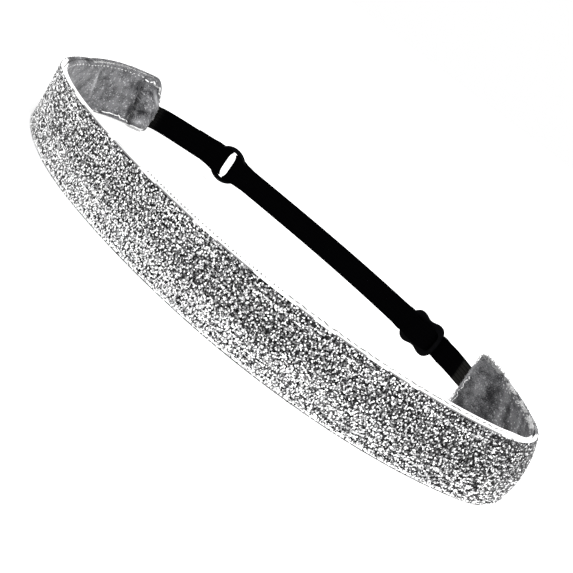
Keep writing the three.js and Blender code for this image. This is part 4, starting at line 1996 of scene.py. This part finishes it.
@dataclass
class StrapRoute:
    """Route of the strap in plan, from inside the left pocket round the back to inside the right one.

    Attributes:
        bend_share: How far the route leaves the hardware straight, as a share of the span.
        marks: Distances along the route where its stretches meet.
        heights: Height of the strap's middle at each mark.
        leans: Lean of the strap at each mark.
    """

    band: Band
    tuck: float = 10.0
    tuck_depth: float = 3.6
    bend_share: float = 0.36
    pocket_share: float = 0.14
    samples: int = 160
    marks: Array = field(init=False)
    line: Array = field(init=False)
    run: Array = field(init=False)
    tangent: Array = field(init=False)
    heights: Array = field(init=False)
    leans: Array = field(init=False)

    def __post_init__(self) -> None:
        """Works out the route once."""
        held = [
            self.pocket(self.band.left),
            self.straight(RING_SEAT),
            self.straight(SLIDER_SEAT),
            self.pocket(self.band.right),
        ]
        shares = (self.pocket_share, self.bend_share, self.bend_share, self.pocket_share)
        curves = [held[0]]
        for k in range(len(held) - 1):
            curves += [self.bend(held[k], held[k + 1], shares[k : k + 2]), held[k + 1]]
        self.marks = np.concatenate([[0.0], np.cumsum([distances(curve)[-1] for curve in curves])])
        self.line = np.concatenate([curves[0]] + [curve[1:] for curve in curves[1:]])
        self.run = distances(self.line)
        self.tangent = unit(np.gradient(self.line, self.run, axis=0))
        left, right = (self.pocket_stops(end) for end in (self.band.left, self.band.right))
        middle = [(seat.place[2], 0.0) for seat in (RING_SEAT, RING_SEAT, SLIDER_SEAT, SLIDER_SEAT)]
        self.heights, self.leans = np.array([*left, *middle, *right[::-1]]).T

    @property
    def ring(self) -> float:
        """Place of the ring's middle along the route."""
        return (self.marks[2] + self.marks[3]) / 2

    @property
    def slider(self) -> float:
        """Place of the slider's middle along the route."""
        return (self.marks[4] + self.marks[5]) / 2

    def pocket_stops(self, end: BandEnd) -> list[Span]:
        """Height of the strap's middle and its lean, at the inner end of a pocket and at its mouth."""
        inside = np.array([self.tuck, 0.0])
        leans = self.band.walk(end.at - end.side * inside, end.side)[3]
        return [(end.strap_height * math.cos(lean), lean) for lean in leans]

    def pocket(self, end: BandEnd) -> Array:
        """The stretch inside a pocket, in the direction of the route."""
        inside = np.linspace(self.tuck, 0, self.samples)[:: -end.side]
        return self.band.point(end.at - end.side * inside, end.strap_height, self.tuck_depth)[:, :2]

    def straight(self, seat: Seat) -> Array:
        """The straight stretch through a piece of hardware."""
        reach = np.linspace(-seat.reach, seat.reach, self.samples)[:, None]
        return np.array(seat.place[:2]) + reach * seat.axes[0][:2]

    def bend(self, before: Array, after: Array, shares: tuple[float, ...]) -> Array:
        """A free bend between two held stretches.

        Args:
            before: Points of the stretch that it leaves.
            after: Points of the stretch that it comes to.
            shares: How far it goes on straight at both ends, as shares of the span.

        Returns:
            Points of the bend in plan.
        """
        start, stop = before[-1], after[0]
        span = np.linalg.norm(stop - start)
        leave = start + unit(before[-1] - before[-2]) * span * shares[0]
        arrive = stop - unit(after[1] - after[0]) * span * shares[1]
        t = np.linspace(0, 1, self.samples * 2)[:, None]
        first = start * (1 - t) ** 3 + 3 * leave * t * (1 - t) ** 2
        return first + 3 * arrive * t * t * (1 - t) + stop * t**3

    def point(self, along: Array, depth: Array, across: Array) -> Array:
        """Points of the strap.

        Args:
            along: Distances along the route.
            depth: Distances from the route towards the head.
            across: Distances up the strap's width from its middle.

        Returns:
            Points, with x, y and z on the last axis.
        """
        x, y = (np.interp(along, self.run, self.line[:, k]) for k in (0, 1))
        tx, ty = (np.interp(along, self.run, self.tangent[:, k]) for k in (0, 1))
        z = np.interp(along, self.marks, self.heights)
        lean = np.interp(along, self.marks, self.leans)
        inward = depth + across * np.sin(lean)
        return np.stack([x + ty * inward, y - tx * inward, z + across * np.cos(lean)], axis=-1)


@dataclass(frozen=True)
class Hardware:
    """The moulded ring and slider that join the straps and set their length.

    Attributes:
        parting: Height of the line where the mould's halves met.
        crest: Place of the highest points of the slider's two lobes.
        rounding: How full the lobes' outer corners are.
    """

    band: Band
    ring_radius: float = 7.15
    wire: float = 1.05
    parting: float = 0.04
    half_length: float = 8.6
    half_height: float = 7.4
    crest: float = 4.2
    waist: float = 1.0
    rounding: float = 2.5
    bar: float = 2.2
    side_bar: float = 1.9
    slot_height: float = 9.0
    slot_corner: float = 2.3
    thickness: float = 1.6
    edge: float = 0.35

    def build(self) -> None:
        """Builds both pieces."""
        nylon = MouldedNylon().material()
        place_piece(self.ring(nylon), Slot.HARDWARE, "adjuster_ring")
        place_piece(self.slider(nylon), Slot.HARDWARE, "adjuster_slider")

    def ring(self, nylon: Material) -> Piece:
        """Ring of round wire with the faint line where the two halves of its mould met.

        Args:
            nylon: Its material.

        Returns:
            The new object.
        """
        full = 2 * math.pi
        turn = np.linspace(0, full, 97)
        sides = np.linspace(0, full, 33)
        line = bell(np.minimum(sides, full - sides) / 0.12)
        thick = self.wire - self.parting + self.parting * line
        radius = self.ring_radius + thick * np.cos(sides)
        along = np.cos(turn)[:, None] * radius
        up = np.sin(turn)[:, None] * radius
        out = np.broadcast_to(thick * np.sin(sides), along.shape)
        local = np.stack([along, up, out], axis=-1)
        points = local @ RING_SEAT.axes + np.array(RING_SEAT.place)
        rows, columns = points.shape[0] - 1, points.shape[1] - 1
        ids = np.arange(rows * columns).reshape(rows, columns)
        ids = np.concatenate([ids, ids[:1]])
        ids = np.concatenate([ids, ids[:, :1]], axis=1)
        coords = np.stack(np.meshgrid(turn, sides, indexing="ij"), axis=-1) / full
        faces, maps = (grid_quads(grid)[:, ::-1] for grid in (ids, coords))
        data = MeshData(points[:-1, :-1].reshape(-1, 3), [faces], [maps], [np.zeros(len(faces), int)])
        return data.build("ring_moulding", [nylon], self.band.origin())

    def slider(self, nylon: Material) -> Piece:
        """Slider plate with two round lobes, a shallow waist and a slot in each lobe, edges rounded.

        Args:
            nylon: Its material.

        Returns:
            The new object.
        """
        curve = bpy.data.curves.new("slider_outline", "CURVE")
        curve.dimensions = "2D"
        curve.fill_mode = "BOTH"
        curve.extrude = (self.thickness / 2 - self.edge) * MM
        curve.bevel_depth = self.edge * MM
        curve.bevel_resolution = 4
        curve.offset = -self.edge * MM
        for outline in (self.outline(), self.slot(-1), self.slot(1)):
            spline = curve.splines.new("POLY")
            spline.points.add(len(outline) - 1)
            flat = np.pad(outline * MM, ((0, 0), (0, 2)))
            flat[:, 3] = 1
            spline.points.foreach_set("co", flat.ravel())
            spline.use_cyclic_u = True
        holder = bpy.data.objects.new("slider_outline", curve)
        mesh = bpy.data.meshes.new_from_object(holder)
        bpy.data.objects.remove(holder)
        mesh.name = "slider_moulding"
        place = np.array(SLIDER_SEAT.place) + self.band.origin()
        seat = Matrix(SLIDER_SEAT.axes.T.tolist()).to_4x4()
        seat.translation = Vector(place * MM)
        mesh.transform(seat)
        mesh.materials.clear()
        mesh.materials.append(nylon)
        mesh.shade_smooth()
        mesh.set_sharp_from_angle(angle=math.radians(40))
        piece = bpy.data.objects.new("slider_moulding", mesh)
        bpy.context.scene.collection.objects.link(piece)
        return piece

    def outline(self) -> Array:
        """Outline of the slider.

        Returns:
            Points along the strap and up it.
        """
        x = self.half_length * np.sin(np.linspace(0, math.pi / 2, 40))
        waist = self.half_height - self.waist * np.cos(np.clip(x / self.crest, 0, 1) * math.pi / 2) ** 2
        share = np.clip((x - self.crest) / (self.half_length - self.crest), 0, 1)
        lobe = self.half_height * (1 - share**self.rounding) ** (1 / self.rounding)
        quarter = np.stack([x, np.where(x <= self.crest, waist, lobe)], axis=1)
        upper = np.concatenate([quarter[:0:-1], quarter * [-1, 1]])
        return np.concatenate([upper, -upper[1:-1]])

    def slot(self, side: int) -> Array:
        """Outline of one slot, with rounded corners.

        Args:
            side: -1 for the slot towards the ring and 1 for the other one.

        Returns:
            Points along the strap and up it.
        """
        near = self.bar / 2
        far = self.half_length - self.side_bar
        reach = (far - near) / 2 - self.slot_corner
        rise = self.slot_height / 2 - self.slot_corner
        turn = np.linspace(0, math.pi / 2, 6)
        corners = []
        for quarter, (sx, sy) in enumerate(((1, 1), (-1, 1), (-1, -1), (1, -1))):
            angle = turn + quarter * math.pi / 2
            arc = np.stack([np.cos(angle), np.sin(angle)], axis=1) * self.slot_corner
            corners.append(arc + [side * (near + far) / 2 + sx * reach, sy * rise])
        return np.concatenate(corners)


@dataclass(frozen=True)
class Straps:
    """The two elastic straps, as flat strips that follow the route from layer to layer.

    Attributes:
        gap: Room between two layers, or between a layer and the hardware.
        ease: Length over which a layer rises to the hardware.
        fold: Distance from the ring's middle to the axis of each fold round its wire.
        curl: How far their edges curl towards the ring's middle; curl_rise is how late across them.
        rib_sheen: Length at the right pocket over which the ribs get a painted sheen.
        left_reach: How far the painted sheen at the left pocket reaches out of it, and over what length it
            fades.
    """

    band: Band
    route: StrapRoute
    hardware: Hardware
    thickness: float = 1.0
    rounding: float = 0.4
    rim_rows: int = 4
    flat_rows: int = 46
    gap: float = 0.3
    ease: float = 4.0
    fold: float = 3.95
    spread: float = 11.7
    curl: float = 1.25
    curl_rise: int = 5
    squeezed: float = 9.5
    tail: float = 7.0
    step: float = 1.2
    slope_steps: int = 16
    turn_steps: int = 20
    rib: float = 0.9
    rib_height: float = 0.05
    # Painted sheen on the ribs at the pockets' mouths: its length, its edge, its strength at the left.
    rib_sheen: float = 6.0
    rib_sheen_edge: float = 0.8
    left_rib_sheen: float = 0.3
    left_reach: Span = (3.0, 2.0)

    @property
    def layer(self) -> float:
        """Depth of each layer where the strap is doubled."""
        return (self.thickness + self.gap) / 2

    @property
    def ring_layer(self) -> float:
        """Depth of the strap over the ring's wire."""
        return self.hardware.wire + self.gap + self.thickness / 2

    @property
    def slider_layer(self) -> float:
        """Depth of the strap on a face of the slider."""
        return self.hardware.thickness / 2 + self.gap + self.thickness / 2

    def build(self) -> None:
        """Builds both straps."""
        for name, node, line, width in (
            ("short_elastic", "strap_short", self.short_line(), self.band.left.strap_width),
            ("long_elastic", "strap_long", self.long_line(), self.band.right.strap_width),
        ):
            length = float(distances(line)[-1])
            piece = place_piece(self.strip(name, line, width, length), Slot.ELASTIC, node)

    def glide(self, rows: list[Span]) -> Array:
        """Middle line between rows: straight where the depth holds, else a soft slope.

        Args:
            rows: Distances along the route and depths.

        Returns:
            Points of the line, without the last row.
        """
        parts = []
        for start, stop in zip(rows, rows[1:]):
            count = max(int(abs(stop[0] - start[0]) / self.step), 2)
            if start[1] != stop[1]:
                count = max(count, self.slope_steps)
            share = np.arange(count) / count
            along = start[0] + (stop[0] - start[0]) * share
            parts.append(np.stack([along, start[1] + (stop[1] - start[1]) * smooth(share)], axis=1))
        return np.concatenate(parts)

    def half_turn(self, along: float, depth: float, side: int) -> Array:
        """Half turn round a bar, bulging to one side along the strap and ending on the other face."""
        angle = math.pi / 2 - math.pi * np.linspace(0, 1, self.turn_steps + 1)
        return np.stack([along + side * abs(depth) * np.cos(angle), depth * np.sin(angle)], axis=1)

    def towards_ring(self, side: int, face: int) -> list[Span]:
        """Rows of a layer as it comes up to the ring and reaches its fold.

        Args:
            side: Side of the ring that it comes from, -1 the left and 1 the right.
            face: Face that it lies on, 1 towards the head and -1 away from it.

        Returns:
            Three rows of distance along the route and depth.
        """
        middle = self.route.ring
        edge = self.hardware.ring_radius + self.hardware.wire
        return [
            (middle + side * (edge + self.ease), face * self.layer),
            (middle + side * edge, face * self.ring_layer),
            (middle + side * self.fold, face * self.ring_layer),
        ]

    def short_line(self) -> Array:
        """Short loop: out of the left pocket, through the ring and back to its own sewn tail.

        Returns:
            Points of its middle line, as distance along the route and depth.
        """
        back = self.towards_ring(-1, -1)[::-1]
        tail = (back[-1][0] - self.tail, -self.layer)
        out = self.glide([(0.0, 0.0), (self.route.marks[1], 0.0), *self.towards_ring(-1, 1)])
        turn = self.half_turn(self.route.ring - self.fold, self.ring_layer, 1)
        home = self.glide([*back, tail])[1:]
        return np.concatenate([out, turn, home, [tail]])

    def long_line(self) -> Array:
        """Long strap: right pocket, over the slider, round the ring and back to the slider's middle bar.

        Returns:
            Points of its middle line, as distance along the route and depth.
        """
        marks, hardware = self.route.marks, self.hardware
        slider = self.route.slider
        over = self.slider_layer + self.thickness + 2 * self.gap
        wrap = slider + hardware.bar / 2 - self.gap / 2
        slot_edge = slider + hardware.half_length - hardware.side_bar
        right, left = slider + hardware.half_length, slider - hardware.half_length
        out = self.glide(
            [
                (marks[-1], 0.0),
                (marks[6], 0.0),
                (right + self.ease, 0.0),
                (right, -self.slider_layer),
                (slot_edge + self.gap, -self.slider_layer),
                (wrap, over),
                (slider - hardware.bar - self.gap, over),
                (left + hardware.side_bar, self.slider_layer),
                (left, self.slider_layer),
                (left - self.ease, self.layer),
                *self.towards_ring(1, 1),
            ]
        )
        turn = self.half_turn(self.route.ring + self.fold, self.ring_layer, -1)
        home = self.glide(
            [
                *self.towards_ring(1, -1)[::-1],
                (left - self.ease, -self.layer),
                (left, -self.slider_layer),
                (wrap, -self.slider_layer),
            ]
        )[1:]
        last = self.half_turn(wrap, -self.slider_layer, 1)
        return np.concatenate([out, turn, home, last, [(slider - hardware.bar, self.slider_layer)]])

    def strip(self, name: str, line: Array, width: float, length: float) -> Piece:
        """Flat strip with rounded edges and fine lengthwise ribs along a middle line.

        Args:
            name: Name of the piece.
            line: Points of the middle line, as distance along the route and depth.
            width: Width of the strap.
            length: Length of the line.

        Returns:
            The new object.
        """
        ahead = np.concatenate([line[1:], line[-1:]])
        behind = np.concatenate([line[:1], line[:-1]])
        run = unit(ahead - behind)
        normal = np.stack([-run[:, 1], run[:, 0]], axis=1)
        half = self.widths(line[:, 0], width) / 2
        across, fullness = rounded_rows(-half, half, self.rounding, self.rim_rows, self.flat_rows)
        ribs = self.rib_height * np.cos(2 * math.pi * across / self.rib)
        body = (self.thickness / 2 - self.rib_height + ribs) * fullness
        faces = []
        for side in (1, -1):
            at = line[:, None] + normal[:, None] * (side * body)[..., None]
            off = at[..., 0] - self.route.ring
            turned = np.clip((self.fold - np.abs(off)) / (self.ring_layer + self.thickness / 2), 0, 1)
            curled = self.curl * turned * (np.abs(across) / half[:, None]) ** self.curl_rise
            faces.append(self.route.point(at[..., 0] - np.sign(off) * curled, at[..., 1], across))
        plain = np.zeros(across.shape[1] - 1, int)
        places = across[0] / np.ptp(across[0]) + 0.5
        data = closed_ply(*faces, distances(line) / length, places, plain, plain)
        piece = data.build(name, [KnittedElastic().material(length, width)], self.band.origin())
        # Painted sheen on the ribs from just before the right pocket's mouth, and weaker out of the left
        # pocket.
        rib_sheen = smooth((line[:, 0] - self.route.marks[6] + self.rib_sheen) / self.rib_sheen_edge)
        reach, fade = self.left_reach
        rib_sheen = rib_sheen + self.left_rib_sheen * smooth((self.route.marks[1] + reach - line[:, 0]) / fade)
        set_nap_and_painted_light(piece, np.broadcast_to(rib_sheen[:, None], across.shape))
        return piece

    def widths(self, along: Array, width: float) -> Array:
        """Width of a strap, spread in its folds round the ring and squeezed in the slider.

        Args:
            along: Distances along the route.
            width: Width of the free strap.

        Returns:
            Width at each distance.
        """
        past = np.abs(along - self.route.ring) - self.fold
        wide = width + (self.spread - width) * smooth(1 - past / self.ease)
        away = np.abs(along - self.route.slider) - self.hardware.half_length + self.hardware.side_bar
        return wide + (self.squeezed - width) * smooth(1 - away / self.hardware.side_bar)


# Studio


@dataclass(frozen=True)
class Studio:
    """Plain white floor, soft light and the camera of the photo. The floor and the lamp are in metres.

    Attributes:
        aim: Point on the plan that the camera looks at.
    """

    origin: Array
    aim: Triple = (9.6, 49.47, 12.5)
    distance: float = 312.8
    azimuth: float = 13.177
    elevation: float = 18.067
    roll: float = 36.78
    lens: float = 57.36
    floor_size: float = 6.0
    lamp_place: Triple = (0.45, -0.35, 0.7)
    lamp_size: float = 0.6
    lamp_power: float = 9.0

    def build(self) -> None:
        """Builds the camera, the light and the floor."""
        self.camera()
        self.light()
        self.floor()

    def camera(self) -> None:
        """Camera at the place, turn and lens that the photo's edges give."""
        angles = (self.azimuth, self.elevation, self.roll)
        azimuth, elevation, roll = (math.radians(angle) for angle in angles)
        right = Vector((math.cos(azimuth), math.sin(azimuth), 0))
        ahead = Vector((-math.sin(azimuth), math.cos(azimuth), 0))
        forward = ahead * math.cos(elevation) - Vector((0, 0, math.sin(elevation)))
        up = right.cross(forward)
        turned = right * math.cos(roll) + up * math.sin(roll)
        upright = up * math.cos(roll) - right * math.sin(roll)
        data = bpy.data.cameras.new("photo_camera")
        data.lens = self.lens
        data.sensor_fit = "HORIZONTAL"
        data.clip_start = 0.01
        camera = bpy.data.objects.new("photo_camera", data)
        bpy.context.scene.collection.objects.link(camera)
        turn = Matrix((turned, upright, -forward)).transposed().to_4x4()
        place = Vector((np.array(self.aim) + self.origin) * MM) - forward * self.distance * MM
        camera.matrix_world = Matrix.Translation(place) @ turn
        bpy.context.scene.camera = camera

    def light(self) -> None:
        """White surround and one large soft lamp, high on the right."""
        scene = bpy.context.scene
        scene.view_settings.view_transform = "Standard"
        world = bpy.data.worlds.new("white_surround")
        world.use_nodes = True
        surround = world.node_tree.nodes["Background"]
        surround.inputs["Color"].default_value = linear("#FFFFFF")
        surround.inputs["Strength"].default_value = 1.0
        scene.world = world
        lamp = bpy.data.lights.new("soft_key", "AREA")
        lamp.shape = "DISK"
        lamp.size = self.lamp_size
        lamp.energy = self.lamp_power
        key = bpy.data.objects.new("soft_key", lamp)
        key.location = self.lamp_place
        key.rotation_euler = Vector(self.lamp_place).to_track_quat("Z", "Y").to_euler()
        scene.collection.objects.link(key)

    def floor(self) -> None:
        """White sweep of paper under the object."""
        half = self.floor_size / 2 / MM
        corners = np.array([[-half, -half, 0], [half, -half, 0], [half, half, 0], [-half, half, 0]])
        faces = np.array([[0, 1, 2, 3]])
        coords = np.array([[[0, 0], [1, 0], [1, 1], [0, 1]]], float)
        data = MeshData(corners, [faces], [coords], [np.zeros(1, int)])
        floor = data.build("paper_floor", [CoatedPaper().material()], np.zeros(3))


def main() -> None:
    """Builds the headband piece by piece, then the studio."""
    logging.basicConfig(level=logging.INFO, format="%(message)s")
    band = Band()
    Ribbon(band).build()
    Lining(band).build()
    left_flap(band).build()
    right_flap(band).build()
    hardware = Hardware(band)
    Straps(band, StrapRoute(band), hardware).build()
    hardware.build()
    Studio(band.origin()).build()


if __name__ == "__main__":
    main()
